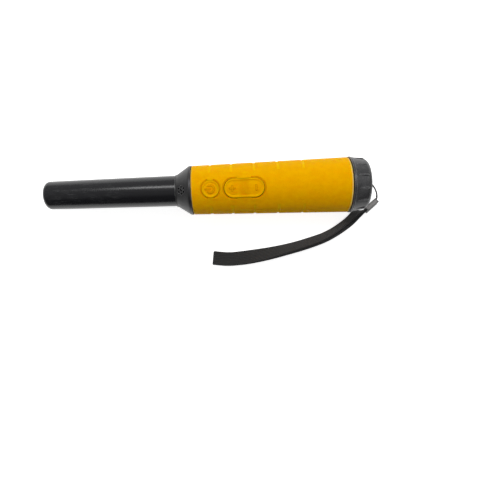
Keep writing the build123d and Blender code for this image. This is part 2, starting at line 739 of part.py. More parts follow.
# Plus towards the tip and minus towards the cap
rocker_icon_surface = rocker_envelope(ICON_HEIGHT - FACE_SINK)
with BuildPart() as rocker_icons:
    with BuildSketch(level(ROCKER_PIVOT_HEIGHT)):
        with Locations((at(ROCKER_STATION) - ROCKER_POST_OFFSET, 0)):
            Rectangle(ROCKER_ICON_SIZE, ICON_STROKE)
            Rectangle(ICON_STROKE, ROCKER_ICON_SIZE)
        with Locations((at(ROCKER_STATION) + ROCKER_POST_OFFSET, 0)):
            Rectangle(ICON_STROKE, ROCKER_ICON_SIZE)
    extrude(amount=KEY_REACH)
    add(rocker_icon_surface, mode=Mode.INTERSECT)

# Power key with its flange under the rubber and its plunger
POWER_POST_BOTTOM = SWITCH_TOP + POWER_TRAVEL + POST_GAP
with BuildPart() as power_button:
    with BuildSketch(level(POWER_FLANGE_BOTTOM)):
        with Locations((at(POWER_STATION), 0)):
            Circle(POWER_RADIUS)
    extrude(amount=KEY_REACH)
    add(rim_surface, mode=Mode.INTERSECT)
    fillet(facing_rim(power_button, 1), RIM_ROUNDING)
    add(power_dish.part, mode=Mode.SUBTRACT)
    with BuildSketch(level(POWER_FLANGE_BOTTOM)):
        with Locations((at(POWER_STATION), 0)):
            Circle(POWER_FLANGE_RADIUS)
    extrude(amount=KEY_FLANGE)
    with BuildSketch(level(POWER_POST_BOTTOM)):
        with Locations((at(POWER_STATION), 0)):
            Circle(POST_RADIUS)
    extrude(amount=POWER_FLANGE_BOTTOM - POWER_POST_BOTTOM)
    add(power_icon.part)
save(power_button, "power_button")

# Rocker key: a long key on two trunnions, dipped in the middle, with a post at each end
ROCKER_POST_BOTTOM = SWITCH_TOP + (ROCKER_POST_OFFSET + POST_RADIUS) * sin(radians(ROCKER_ANGLE)) + POST_GAP
rocker_rim = rocker_envelope(RIM_HEIGHT - FACE_SINK)
with BuildPart() as sensitivity_rocker:
    with BuildSketch(level(ROCKER_BOTTOM)):
        with Locations((at(ROCKER_STATION), 0)):
            SlotOverall(ROCKER_LENGTH, ROCKER_WIDTH)
    extrude(amount=KEY_REACH)
    add(rocker_rim, mode=Mode.INTERSECT)
    fillet(facing_rim(sensitivity_rocker, 1), RIM_ROUNDING)
    add(rocker_dish.part, mode=Mode.SUBTRACT)
    with BuildSketch(Plane.XZ):
        with Locations((at(ROCKER_STATION), AXIS_Z + ROCKER_PIVOT_HEIGHT)):
            Circle(TRUNNION_RADIUS)
    extrude(amount=TRUNNION_END, both=True)
    with BuildSketch(level(ROCKER_POST_BOTTOM)):
        with Locations((at(ROCKER_STATION), 0)):
            with GridLocations(2 * ROCKER_POST_OFFSET, 0, 2, 1):
                Circle(POST_RADIUS)
    extrude(amount=ROCKER_BOTTOM - ROCKER_POST_BOTTOM)
    add(rocker_icons.part)
save(sensitivity_rocker, "sensitivity_rocker")

# Seal on the neck at the tube's shoulder
SEAL_STEP = (SEAL_SECTION + SEAL_GAP) / 2
with BuildPart() as o_ring:
    with BuildSketch(radial_plane()):
        with Locations((at(SHOULDER) + SEAL_STEP, NECK_RADIUS + SEAL_STEP)):
            Circle(SEAL_SECTION / 2)
    revolve(axis=SPIN)
save(o_ring, "o_ring")

# Screw cap: flange, tapered knob with finger ribs, and an eye with a bar for the lanyard
SEAL_SEAT = CAP_START + SEAL_SECTION + CAP_GAP
KNOB_START = CAP_START + FLANGE_WIDTH
KNOB_END = LENGTH - CAP_ROUNDING
END_RADIUS = KNOB_REAR_RADIUS - CAP_ROUNDING
RIB_START = KNOB_START + FINGER_RIB_SETBACK
RIB_FOOT = CAP_BORE + CAP_WALL / 2
RIB_START_CREST = KNOB_FRONT_RADIUS - KNOB_TAPER * (RIB_START - KNOB_START) / (KNOB_END - KNOB_START)
RIB_END = KNOB_END + CAP_ROUNDING * sin(radians(FINGER_RIB_END_ANGLE))
RIB_END_CREST = END_RADIUS + CAP_ROUNDING * cos(radians(FINGER_RIB_END_ANGLE))
LOOP_RADIUS = BAR_RADIUS + CORD_CLEARANCE + CORD_DIAMETER / 2
BAR_STATION = LENGTH - BAR_SINK - BAR_RADIUS
EYE_FLOOR = BAR_STATION - LOOP_RADIUS - CORD_DIAMETER / 2 - CORD_CLEARANCE


def finger_rib(angle):
    """Ridge with sloped sides along the knob, at an angle from up towards +Y."""
    tangent = (0, cos(radians(angle)), -sin(radians(angle)))
    crests = [
        (RIB_START, RIB_START_CREST + FINGER_RIB_RISE),
        (KNOB_END, KNOB_REAR_RADIUS + FINGER_RIB_HEIGHT),
        (RIB_END, RIB_END_CREST - FINGER_RIB_RISE),
    ]
    with BuildPart() as ridge:
        for station, crest in crests:
            crest_half = FINGER_RIB_CREST_WIDTH / 2
            foot_half = crest_half + tan(radians(FINGER_RIB_SLOPE)) * (crest - RIB_FOOT)
            with BuildSketch(Plane(origin=(at(station), 0, AXIS_Z), x_dir=tangent, z_dir=(1, 0, 0))):
                with BuildLine() as outline:
                    Polyline(
                        (-foot_half, RIB_FOOT),
                        (-crest_half, crest),
                        (crest_half, crest),
                        (foot_half, RIB_FOOT),
                        close=True,
                    )
                make_face(outline.edges())
        loft(ruled=True)
    return ridge.part


female_thread = thread_ridge(THREAD_START + THREAD_PITCH / 2, CAP_BORE, -THREAD_DEPTH, CAP_THREAD_TURNS)
with BuildPart() as end_cap:
    with BuildSketch(radial_plane()):
        with BuildLine():
            Polyline(
                (at(CAP_START), SEAL_BORE),
                (at(CAP_START), FLANGE_RADIUS - FLANGE_CHAMFER),
                (at(CAP_START) + FLANGE_CHAMFER, FLANGE_RADIUS),
                (at(KNOB_START) - FLANGE_CHAMFER, FLANGE_RADIUS),
                (at(KNOB_START), FLANGE_RADIUS - FLANGE_CHAMFER),
                (at(KNOB_START), KNOB_FRONT_RADIUS),
                (at(KNOB_END), KNOB_REAR_RADIUS),
            )
            RadiusArc((at(KNOB_END), KNOB_REAR_RADIUS), (at(LENGTH), END_RADIUS), CAP_ROUNDING)
            Polyline(
                (at(LENGTH), END_RADIUS),
                (at(LENGTH), 0),
                (at(CAP_FLOOR), 0),
                (at(CAP_FLOOR), CAP_BORE),
                (at(SEAL_SEAT), CAP_BORE),
                (at(SEAL_SEAT), SEAL_BORE),
                (at(CAP_START), SEAL_BORE),
            )
        make_face()
    revolve(axis=SPIN)
    add(female_thread)
    for rib in range(FINGER_RIB_COUNT):
        add(finger_rib(rib * 360 / FINGER_RIB_COUNT - FINGER_RIB_PHASE))
    with BuildSketch(across(LENGTH)):
        Circle(EYE_RADIUS)
    extrude(amount=EYE_FLOOR - LENGTH, mode=Mode.SUBTRACT)
    with BuildSketch(Plane.XZ):
        with Locations((at(BAR_STATION), AXIS_Z)):
            Circle(BAR_RADIUS)
    extrude(amount=EYE_RADIUS + BAR_RADIUS, both=True)
save(end_cap, "end_cap")

# Foam disc in the cap that presses on the battery
with BuildPart() as battery_pad:
    with BuildSketch(across(PAD_START)):
        Circle(BAY_RADIUS - PAD_SIDE_GAP)
    extrude(amount=PAD_THICKNESS)
save(battery_pad, "battery_pad")

# Battery and its stud and socket
with BuildPart() as battery:
    with BuildSketch(across(BATTERY_START)):
        RectangleRounded(BATTERY_WIDTH, BATTERY_THICKNESS, BATTERY_ROUNDING)
    extrude(amount=BATTERY_LENGTH)
save(battery, "battery")

SOCKET_BORE = STUD_RADIUS + CONTACT_GAP
SOCKET_OUTER = SOCKET_BORE + SOCKET_WALL
with BuildPart() as battery_terminals:
    with BuildSketch(across(BATTERY_START)):
        with Locations((-TERMINAL_SPACING / 2, 0)):
            Circle(STUD_RADIUS)
        with Locations((TERMINAL_SPACING / 2, 0)):
            Circle(SOCKET_OUTER)
            Circle(SOCKET_BORE, mode=Mode.SUBTRACT)
    extrude(amount=-TERMINAL_HEIGHT)
save(battery_terminals, "battery_terminals")

# Snap connector: a plate on the bulkhead with the mating socket and stud
with BuildPart() as snap_plate:
    with BuildSketch(across(BULKHEAD_REAR)):
        SlotOverall(
            TERMINAL_SPACING + 2 * (SOCKET_OUTER + SNAP_PLATE_MARGIN),
            2 * (SOCKET_OUTER + SNAP_PLATE_MARGIN),
        )
    extrude(amount=SNAP_PLATE_THICKNESS)
save(snap_plate, "snap_plate")

with BuildPart() as snap_contacts:
    with BuildSketch(across(SNAP_FACE)):
        with Locations((-TERMINAL_SPACING / 2, 0)):
            Circle(SOCKET_OUTER)
            Circle(SOCKET_BORE, mode=Mode.SUBTRACT)
        with Locations((TERMINAL_SPACING / 2, 0)):
            Circle(STUD_RADIUS)
    extrude(amount=TERMINAL_HEIGHT)
save(snap_contacts, "snap_contacts")

# Heights and widths that the board and its carrier share
BOARD_BOTTOM = BOARD_TOP - BOARD_THICKNESS
BOARD_HALF_WIDTH = sqrt(TUBE_BORE**2 - BOARD_TOP**2) - BOARD_SIDE_GAP
RAIL_OUTER = BOARD_HALF_WIDTH - RAIL_INSET
RAIL_CENTRE = RAIL_OUTER - RAIL_WIDTH / 2
RAIL_INNER = RAIL_OUTER - RAIL_WIDTH
CLIP_OUTER = MOTOR_RADIUS + CLIP_GAP + CLIP_THICKNESS
CLIP_SCREW_OFFSET = CLIP_OUTER + CLIP_FOOT / 2
MOTOR_MIDDLE = MOTOR_START + MOTOR_LENGTH / 2
BOARD_SCREWS = [
    (at(BOARD_START + BOARD_SCREW_INSET), -RAIL_CENTRE),
    (at(BOARD_START + BOARD_SCREW_INSET), RAIL_CENTRE),
    (at(BOARD_END - BOARD_SCREW_INSET), -RAIL_CENTRE),
    (at(BOARD_END - BOARD_SCREW_INSET), RAIL_CENTRE),
]
CLIP_SCREWS = [(at(MOTOR_MIDDLE), -CLIP_SCREW_OFFSET), (at(MOTOR_MIDDLE), CLIP_SCREW_OFFSET)]
CHASSIS_SCREWS = [(0, -BOSS_OFFSET), (0, BOSS_OFFSET)]


def pan_screws(seat, places, length):
    """Pan-head screws whose heads sit on a plane at the given places."""
    with BuildSketch(seat) as heads:
        with Locations(*places):
            Circle(SCREW_HEAD_RADIUS)
    extrude(heads.sketch, amount=SCREW_HEAD_HEIGHT)
    with BuildSketch(seat) as shanks:
        with Locations(*places):
            Circle(SCREW_RADIUS)
    extrude(shanks.sketch, amount=-length)


def screw_holes(seat, places, depth):
    """Clearance holes for those screws."""
    with BuildSketch(seat) as holes:
        with Locations(*places):
            Circle(SCREW_RADIUS + SCREW_GAP)
    extrude(holes.sketch, amount=-depth, mode=Mode.SUBTRACT)


# Chassis: bulkhead, two rails under the board, a front crossbar and the motor's bed
with BuildPart() as chassis:
    with BuildSketch(across(BAY_START)):
        Circle(BAY_RADIUS - BULKHEAD_GAP)
        with Locations((-LEAD_SPREAD, 0), (LEAD_SPREAD, 0)):
            Circle(LEAD_RADIUS + LEAD_HOLE_GAP, mode=Mode.SUBTRACT)
    extrude(amount=BULKHEAD_THICKNESS)
    with BuildSketch(across(BOARD_START)):
        with Locations((-RAIL_CENTRE, RAIL_BOTTOM), (RAIL_CENTRE, RAIL_BOTTOM)):
            Rectangle(RAIL_WIDTH, BOARD_BOTTOM - RAIL_BOTTOM, align=(Align.CENTER, Align.MIN))
    extrude(amount=BAY_START - BOARD_START)
    with BuildSketch(across(BOARD_START)):
        with Locations((0, RAIL_BOTTOM)):
            Rectangle(2 * RAIL_OUTER, CROSSBAR_TOP - RAIL_BOTTOM, align=(Align.CENTER, Align.MIN))
    extrude(amount=CROSSBAR_LENGTH)
    with BuildSketch(across(MOTOR_START)):
        with Locations((0, MOTOR_HEIGHT)):
            Rectangle(2 * (RAIL_INNER + MOTOR_BED_LAP), MOTOR_BED_DEPTH, align=(Align.CENTER, Align.MAX))
            Circle(MOTOR_RADIUS + CLIP_GAP, mode=Mode.SUBTRACT)
    extrude(amount=MOTOR_LENGTH)
    screw_holes(across(BULKHEAD_REAR), CHASSIS_SCREWS, BULKHEAD_THICKNESS)
    screw_holes(level(BOARD_BOTTOM), BOARD_SCREWS, SCREW_LENGTH)
    screw_holes(level(MOTOR_HEIGHT), CLIP_SCREWS, CLIP_SCREW_LENGTH)
save(chassis, "chassis")

with BuildPart() as chassis_screws:
    pan_screws(across(BULKHEAD_REAR), CHASSIS_SCREWS, SCREW_LENGTH)
save(chassis_screws, "chassis_screws")

# Leads from the snap connector through the bulkhead to the underside of the board
for lead_name, side in (("lead_positive", LEAD_SPREAD), ("lead_negative", -LEAD_SPREAD)):
    with BuildPart() as lead:
        with BuildLine() as lead_route:
            FilletPolyline(
                (at(BULKHEAD_REAR), side, AXIS_Z),
                (at(BAY_START - LEAD_RUN), side, AXIS_Z),
                (at(BAY_START - LEAD_RUN), side, AXIS_Z + BOARD_BOTTOM),
                radius=LEAD_BEND,
            )
        with BuildSketch(Plane(origin=lead_route.line @ 0, z_dir=lead_route.line % 0)):
            Circle(LEAD_RADIUS)
        sweep(path=lead_route.wires()[0])
    save(lead, lead_name)

# Circuit board and its screws
with BuildPart() as main_board:
    with BuildSketch(level(BOARD_BOTTOM)):
        with Locations((at((BOARD_START + BOARD_END) / 2), 0)):
            RectangleRounded(BOARD_END - BOARD_START, 2 * BOARD_HALF_WIDTH, BOARD_CORNER)
    extrude(amount=BOARD_THICKNESS)
    screw_holes(level(BOARD_TOP), BOARD_SCREWS, BOARD_THICKNESS)
save(main_board, "main_board")

with BuildPart() as board_screws:
    pan_screws(level(BOARD_TOP), BOARD_SCREWS, SCREW_LENGTH)
save(board_screws, "board_screws")

# Tact switches under the plunger and the rocker's posts
SWITCH_STATIONS = [POWER_STATION, ROCKER_STATION - ROCKER_POST_OFFSET, ROCKER_STATION + ROCKER_POST_OFFSET]
SWITCH_PLACES = [(at(station), 0) for station in SWITCH_STATIONS]
with BuildPart() as tact_switches:
    with BuildSketch(level(BOARD_TOP)):
        with Locations(*SWITCH_PLACES):
            Rectangle(SWITCH_SIZE, SWITCH_SIZE)
    extrude(amount=SWITCH_HEIGHT)
    with BuildSketch(level(BOARD_TOP + SWITCH_HEIGHT)):
        with Locations(*SWITCH_PLACES):
            Circle(STEM_RADIUS)
    extrude(amount=STEM_HEIGHT)
save(tact_switches, "tact_switches")

# Controller, capacitors, crystal and regulator
CHIP_STATION = ROCKER_STATION + ROCKER_POST_OFFSET + SWITCH_SIZE / 2 + CHIP_GAP + CHIP_SIZE / 2
with BuildPart() as controller_chip:
    with BuildSketch(level(BOARD_TOP)):
        with Locations((at(CHIP_STATION), 0)):
            Rectangle(CHIP_SIZE, CHIP_SIZE)
    extrude(amount=CHIP_HEIGHT)
save(controller_chip, "controller_chip")

with BuildPart() as board_parts:
    with BuildSketch(level(BOARD_TOP)):
        with Locations((at((POWER_STATION + ROCKER_STATION - ROCKER_POST_OFFSET) / 2), 0)):
            with GridLocations(0, 2 * CAN_OFFSET, 1, 2):
                Circle(CAN_RADIUS)
    extrude(amount=CAN_HEIGHT)
    with BuildSketch(level(BOARD_TOP)):
        with Locations((at(ROCKER_STATION), 0)):
            with GridLocations(0, 2 * SMALL_PART_OFFSET, 1, 2):
                Rectangle(SMALL_PART_LENGTH, SMALL_PART_WIDTH)
    extrude(amount=SMALL_PART_HEIGHT)
save(board_parts, "board_parts")

with BuildPart() as coil_header:
    with BuildSketch(level(BOARD_BOTTOM)):
        with Locations((at(HEADER_START), 0)):
            Rectangle(HEADER_LENGTH, HEADER_WIDTH, align=(Align.MIN, Align.CENTER))
    extrude(amount=-HEADER_DEPTH)
save(coil_header, "coil_header")

# Vibration motor, its off-centre weight on the shaft, and the clip that holds it
MOTOR_END = MOTOR_START + MOTOR_LENGTH
with BuildPart() as vibration_motor:
    with BuildSketch(across(MOTOR_START)):
        with Locations((0, MOTOR_HEIGHT)):
            Circle(MOTOR_RADIUS)
    extrude(amount=MOTOR_LENGTH)
    with BuildSketch(across(MOTOR_END)):
        with Locations((0, MOTOR_HEIGHT)):
            Circle(SHAFT_RADIUS + SHAFT_FIT)
    extrude(amount=-SHAFT_DEPTH - SHAFT_FIT, mode=Mode.SUBTRACT)
save(vibration_motor, "vibration_motor")

with BuildPart() as eccentric_weight:
    with BuildSketch(across(MOTOR_END - SHAFT_DEPTH)):
        with Locations((0, MOTOR_HEIGHT)):
            Circle(SHAFT_RADIUS)
    extrude(amount=SHAFT_DEPTH + WEIGHT_GAP)
    with BuildSketch(across(MOTOR_END + WEIGHT_GAP)):
        with Locations((0, MOTOR_HEIGHT)):
            Circle(WEIGHT_RADIUS)
            Rectangle(2 * WEIGHT_RADIUS, WEIGHT_RADIUS, align=(Align.CENTER, Align.MIN), mode=Mode.SUBTRACT)
            Circle(WEIGHT_HUB_RADIUS)
    extrude(amount=WEIGHT_LENGTH)
save(eccentric_weight, "eccentric_weight")

with BuildPart() as motor_clip:
    with BuildSketch(across(MOTOR_MIDDLE - CLIP_LENGTH / 2)):
        with Locations((0, MOTOR_HEIGHT)):
            Circle(CLIP_OUTER)
            Rectangle(2 * CLIP_OUTER, CLIP_OUTER, align=(Align.CENTER, Align.MAX), mode=Mode.SUBTRACT)
            Rectangle(2 * (CLIP_OUTER + CLIP_FOOT), CLIP_THICKNESS, align=(Align.CENTER, Align.MIN))
            Circle(MOTOR_RADIUS + CLIP_GAP, mode=Mode.SUBTRACT)
    extrude(amount=CLIP_LENGTH)
    screw_holes(level(MOTOR_HEIGHT + CLIP_THICKNESS), CLIP_SCREWS, CLIP_THICKNESS)
save(motor_clip, "motor_clip")

with BuildPart() as clip_screws:
    pan_screws(level(MOTOR_HEIGHT + CLIP_THICKNESS), CLIP_SCREWS, CLIP_SCREW_LENGTH)
save(clip_screws, "clip_screws")

# Webbing: the planes of both layers at each station of its route
upper_planes = []
lower_planes = []
for index, (x, y, tilt, spacing, splay) in enumerate(STRAP_ROUTE):
    before = Vector(STRAP_ROUTE[max(index - 1, 0)][:2])
    after = Vector(STRAP_ROUTE[min(index + 1, len(STRAP_ROUTE) - 1)][:2])
    travel = (after - before).normalized()
    outward = Vector(-travel.Y, travel.X)
    lean = radians(tilt)
    lower_lean = radians(tilt - splay)
    upper_way = outward * cos(lean) + Vector(0, 0, sin(lean))
    lower_way = outward * cos(lower_lean) + Vector(0, 0, sin(lower_lean))
    # whichever layer is lower rests on the floor, and the crimp's wall comes under the first station
    lift = FLOOR_GAP
    if index == 0:
        lift += CRIMP_MARGIN * sin(lean) + CRIMP_WALL * abs(cos(lean))
    upper_height = lift + WEB_THICKNESS / 2 * abs(cos(lean)) + spacing * max(cos(lean), 0)
    lower_height = lift + WEB_THICKNESS / 2 * abs(cos(lower_lean)) + spacing * max(-cos(lean), 0)
    upper_foot = Vector(x, y) - outward * (WEB_WIDTH * cos(lean)) + Vector(0, 0, upper_height)
    lower_foot = upper_foot + outward * (spacing * sin(lean)) + Vector(0, 0, lower_height - upper_height)
    upper_middle = upper_foot + upper_way * (WEB_WIDTH / 2)
    lower_middle = lower_foot + lower_way * (WEB_WIDTH / 2)
    upper_planes.append(Plane(origin=upper_middle, x_dir=upper_way, z_dir=travel))
    lower_planes.append(Plane(origin=lower_middle, x_dir=lower_way, z_dir=travel * -1))

# One strip: out along the upper layer, round the fold and back along the lower one
fold_middle = (upper_planes[-1].origin + lower_planes[-1].origin) * 0.5
fold_half = lower_planes[-1].origin - fold_middle
fold_travel = upper_planes[-1].z_dir
web_planes = [*upper_planes]
for step in range(1, FOLD_STEPS + 1):
    turn = pi * step / (FOLD_STEPS + 1)
    place = fold_middle - fold_half * cos(turn) + fold_travel * (fold_half.length * sin(turn))
    heading = fold_travel * cos(turn) + fold_half.normalized() * sin(turn)
    web_planes.append(Plane(origin=place, x_dir=upper_planes[-1].x_dir, z_dir=heading))
web_planes.extend(reversed(lower_planes))

with BuildPart() as wrist_strap:
    for web_plane in web_planes:
        with BuildSketch(web_plane):
            Rectangle(WEB_WIDTH, WEB_THICKNESS)
    loft(ruled=True)
save(wrist_strap, "wrist_strap")
web_length = sum((b.origin - a.origin).length for a, b in zip(web_planes, web_planes[1:]))
print(f"webbing: {web_length:.1f} mm long")

# Crimp that holds the webbing's two ends and the cord's two ends
crimp_middle = (upper_planes[0].origin + lower_planes[0].origin) * 0.5
crimp_layer = lower_planes[0].origin - upper_planes[0].origin
crimp_travel = upper_planes[0].z_dir
crimp_way = upper_planes[0].x_dir
with BuildPart() as lanyard_crimp:
    with BuildSketch(Plane(origin=crimp_middle, x_dir=crimp_way, z_dir=crimp_travel * -1)):
        RectangleRounded(
            WEB_WIDTH + 2 * CRIMP_MARGIN,
            crimp_layer.length + WEB_THICKNESS + 2 * CRIMP_WALL,
            CRIMP_ROUNDING,
        )
    extrude(amount=CRIMP_LENGTH)
save(lanyard_crimp, "lanyard_crimp")

# Cord from the crimp, round the cap's bar and back
cord_middle = crimp_middle - crimp_travel * CRIMP_LENGTH - crimp_layer.normalized() * CORD_INSET
cord_points = [
    cord_middle + crimp_way * CORD_SPREAD,
    cord_middle + crimp_way * CORD_SPREAD - crimp_travel * CORD_LEAD,
    *[Vector(point) for point in CORD_UPPER],
    Vector(at(BAR_STATION) - LOOP_RADIUS, 0, AXIS_Z + LOOP_RADIUS),
    Vector(at(BAR_STATION) - LOOP_RADIUS, 0, AXIS_Z - LOOP_RADIUS),
    *[Vector(point) for point in CORD_LOWER],
    cord_middle - crimp_way * CORD_SPREAD - crimp_travel * CORD_LEAD,
    cord_middle - crimp_way * CORD_SPREAD,
]
cord_radii = []
for before, corner, after in zip(cord_points, cord_points[1:], cord_points[2:]):
    half_turn = radians((corner - before).get_angle(after - corner)) / 2
    shorter_run = min((corner - before).length, (after - corner).length)
    cord_radii.append(CORD_ARC_SHARE * shorter_run / tan(half_turn))

with BuildPart() as lanyard_cord:
    with BuildLine() as cord_route:
        FilletPolyline(cord_points, radius=cord_radii)
    with BuildSketch(Plane(origin=cord_route.line @ 0, z_dir=cord_route.line % 0)):
        Circle(CORD_DIAMETER / 2)
    sweep(path=cord_route.wires()[0])
save(lanyard_cord, "lanyard_cord")
cord_length = cord_route.wires()[0].length
volume_share = lanyard_cord.part.volume / (cord_length * pi * CORD_DIAMETER**2 / 4)
print("cord points:", [tuple(round(value, 2) for value in point) for point in cord_points])
print("cord radii:", [round(radius, 1) for radius in cord_radii])
print(f"cord: {cord_length:.1f} mm long, volume share {volume_share:.3f}")
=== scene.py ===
"""Looks of a hand-held pinpointer: finishes for its solids, woven strap, twisted cord, studio and camera.

All of it is in the part's own frame: X runs from the probe tip to the screw cap and Z is up. Lengths are in
metres, apart from those of the strap, which are in millimetres.
"""

from math import cos, pi, radians, sin

import bpy
from mathutils import Matrix, Vector


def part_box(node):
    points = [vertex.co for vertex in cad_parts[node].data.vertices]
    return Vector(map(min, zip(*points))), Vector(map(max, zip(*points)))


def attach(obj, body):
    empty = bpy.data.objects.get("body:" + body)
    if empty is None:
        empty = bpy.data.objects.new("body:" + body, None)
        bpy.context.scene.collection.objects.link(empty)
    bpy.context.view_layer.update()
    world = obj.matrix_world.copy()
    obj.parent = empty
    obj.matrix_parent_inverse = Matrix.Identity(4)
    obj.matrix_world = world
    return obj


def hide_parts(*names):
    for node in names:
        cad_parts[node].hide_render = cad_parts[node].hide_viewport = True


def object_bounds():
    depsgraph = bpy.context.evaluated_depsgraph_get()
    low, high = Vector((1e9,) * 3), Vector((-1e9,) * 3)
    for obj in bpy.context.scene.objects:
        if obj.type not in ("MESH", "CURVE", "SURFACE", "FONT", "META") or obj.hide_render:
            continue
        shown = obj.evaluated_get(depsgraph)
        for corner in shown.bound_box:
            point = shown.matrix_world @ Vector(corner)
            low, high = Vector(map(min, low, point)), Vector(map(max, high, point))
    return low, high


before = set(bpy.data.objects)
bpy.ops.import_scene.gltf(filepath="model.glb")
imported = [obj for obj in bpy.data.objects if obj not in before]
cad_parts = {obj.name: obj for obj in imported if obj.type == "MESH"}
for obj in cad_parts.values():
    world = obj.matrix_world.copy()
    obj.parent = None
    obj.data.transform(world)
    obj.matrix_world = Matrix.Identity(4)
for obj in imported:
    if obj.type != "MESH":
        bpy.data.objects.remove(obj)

CAD_LOW, CAD_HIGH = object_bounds()
MM = 0.001
UP = Vector((0, 0, 1))

# Camera: the photograph's place, aim and roll in degrees, with lens and sensor in millimetres
CAMERA_SPOT = Vector((0.02191, -0.00951, 0.35638))
CAMERA_AIM = Vector((0.03104, -0.04896, 0.02190))
CAMERA_ROLL = -2.36
CAMERA_LENS = 30.24
CAMERA_SENSOR = 36.0
CAMERA_CLIP = 10 * MM

# Floor: its colour as a lit surface, and the colour and glow that the picture and reflections see
FLOOR_SIZE = 6.0
FLOOR_DROP = 0.2 * MM
FLOOR_COLOUR = (0.86, 0.86, 0.86, 1)
FLOOR_SHOWN_COLOUR = (0.9, 0.9, 0.9, 1)
FLOOR_GLOW = 0.8

# Room: places from the near side at 0 to the far side at 1, each with its shade of grey
ROOM_SHADES = [(0.19, 0.08), (0.3, 0.3), (0.4, 0.42), (0.75, 0.45), (1.0, 0.68)]

# Lamp: a strip above the far side
LAMP_SPOT = Vector((0.1, 0.49, 0.89))
LAMP_AIM = Vector((0, 0, 0.02))
LAMP_SIZE = (0.95, 0.2)
LAMP_POWER = 4.9

# Strap: x and y of the upper layer's outer edge, its tilt from flat in degrees, the spacing of
# the two layers, and by how many degrees the lower one leans flatter
STRAP_ROUTE = [
    (128.1, -19.75, 106, 1.25, 0),
    (123.2, -23.9, 68, 1.7, 3),
    (117.6, -28.4, 75, 2.0, 6),
    (112.2, -32.4, 76, 2.1, 7),
    (103.8, -38.6, 73, 2.1, 4),
    (94.6, -44.0, 67, 2.0, 2.5),
    (84.6, -47.7, 62, 2.0, 2),
    (73.7, -50.9, 61, 2.0, 2),
    (62.0, -54.0, 57, 2.0, 1),
    (50.3, -57.5, 46, 1.9, 0),
    (37.7, -60.7, 31, 1.8, 0),
    (25.1, -63.3, 14, 1.7, 0),
    (12.4, -64.3, 4, 1.7, 0),
    (0.4, -62.7, 2, 1.6, 0),
]

# Webbing: its size, its seat in the crimp, its lengthwise ribs and its crosswise picks
WEB_WIDTH = 11.7
WEB_THICKNESS = 1.2
WEB_FLOOR_GAP = 0.1
WEB_CRIMP_MARGIN = 0.5
WEB_CRIMP_WALL = 0.85
WEB_RIBS = 8
WEB_RIB_DEPTH = 0.2
WEB_FLAT_WIDTH = WEB_WIDTH - WEB_THICKNESS + 2 * WEB_RIB_DEPTH
WEB_RIB_WIDTH = WEB_FLAT_WIDTH / WEB_RIBS
WEB_PICK = 0.9
WEB_DARK = (0.010, 0.010, 0.0102)
WEB_PALE = (0.062, 0.0615, 0.061)

# Steps of the webbing's mesh: over a rib, round an edge, round the fold, and from one route point to the next
WEB_RIB_STEPS = 6
WEB_EDGE_STEPS = 4
WEB_FOLD_STEPS = 4
WEB_RESOLUTION = 12

# Cord: route from the crimp up round the cap's bar and back
CORD_ROUTE = [
    (0.13725, -0.01292, 0.00842),
    (0.13817, -0.01214, 0.00842),
    (0.13820, -0.01090, 0.00910),
    (0.13750, -0.00925, 0.01110),
    (0.13630, -0.00700, 0.01380),
    (0.13365, -0.00380, 0.01790),
    (0.13010, -0.00040, 0.02180),
    (0.12630, 0.00035, 0.02390),
    (0.12115, 0.00000, 0.02400),
    (0.12115, 0.00000, 0.01980),
    (0.12630, 0.00030, 0.01950),
    (0.13080, -0.00010, 0.01830),
    (0.13440, -0.00370, 0.01550),
    (0.13680, -0.00680, 0.01200),
    (0.13790, -0.00890, 0.00960),
    (0.13860, -0.01060, 0.00700),
    (0.13920, -0.01190, 0.00530),
    (0.13888, -0.01298, 0.00458),
    (0.13796, -0.01376, 0.00458),
]
CORD_DIAMETER = 0.0012

# Twist and yarn of the cord: the lay is the length of one turn, and the relief is a share of the radius
CORD_STRANDS = 3
CORD_LAY = 0.0034
CORD_STRAND_RELIEF = 0.16
CORD_PICK = 0.0005
CORD_DARK = (0.012, 0.012, 0.012)
CORD_PALE = (0.07, 0.066, 0.06)

# Steps of the cord's mesh: round it, and from one route point to the next
CORD_SIDES = 24
CORD_RESOLUTION = 24

# Probe: its colours, and how far from the tip its wear is full and has faded
PROBE_CLEAN = (0.0085, 0.0085, 0.0105)
PROBE_SCUFFED = (0.036, 0.036, 0.039)
PROBE_WORN = 40 * MM
PROBE_FADED = 78 * MM

# Satin plastic of cap and cone: its colours, pale worn edges that also carry a painted highlight, dirt with
# painted shade in its recesses, how wide its edges wear, and how much darker the cone is
SATIN_DARK = (0.016, 0.016, 0.0175)
SATIN_PALE = (0.062, 0.062, 0.064)
SATIN_WORN_AND_HIGHLIGHT = (0.3, 0.3, 0.305)
SATIN_DIRT_AND_SHADE = (0.004, 0.004, 0.004)
SATIN_DIRT_AND_SHADE_SHARE = 0.9
SATIN_EDGE = 0.4 * MM
CONE_SHADE = 0.45

# Rubber of grip and keys: its colours, the dirt with painted shade in its recesses, and how red, green and
# blue light spreads in it
RUBBER_DARK = (0.94, 0.43, 0.0)
RUBBER_PALE = (1.0, 0.482, 0.0)
RUBBER_DIRT_AND_SHADE = (0.45, 0.17, 0.0)
RUBBER_DIRT_AND_SHADE_SHARE = 0.2
RUBBER_SHINE = (1.0, 0.6, 0.0, 1)
RUBBER_SPREAD = (1.0, 0.45, 0.05)
RUBBER_DEPTH = 2 * MM

# Grip: its outer radius at both ends, and how far from the middle its sides begin
GRIP_FRONT_RADIUS = 0.018902
GRIP_REAR_RADIUS = 0.021502
GRIP_SIDE = (10.5 * MM, 11.5 * MM)
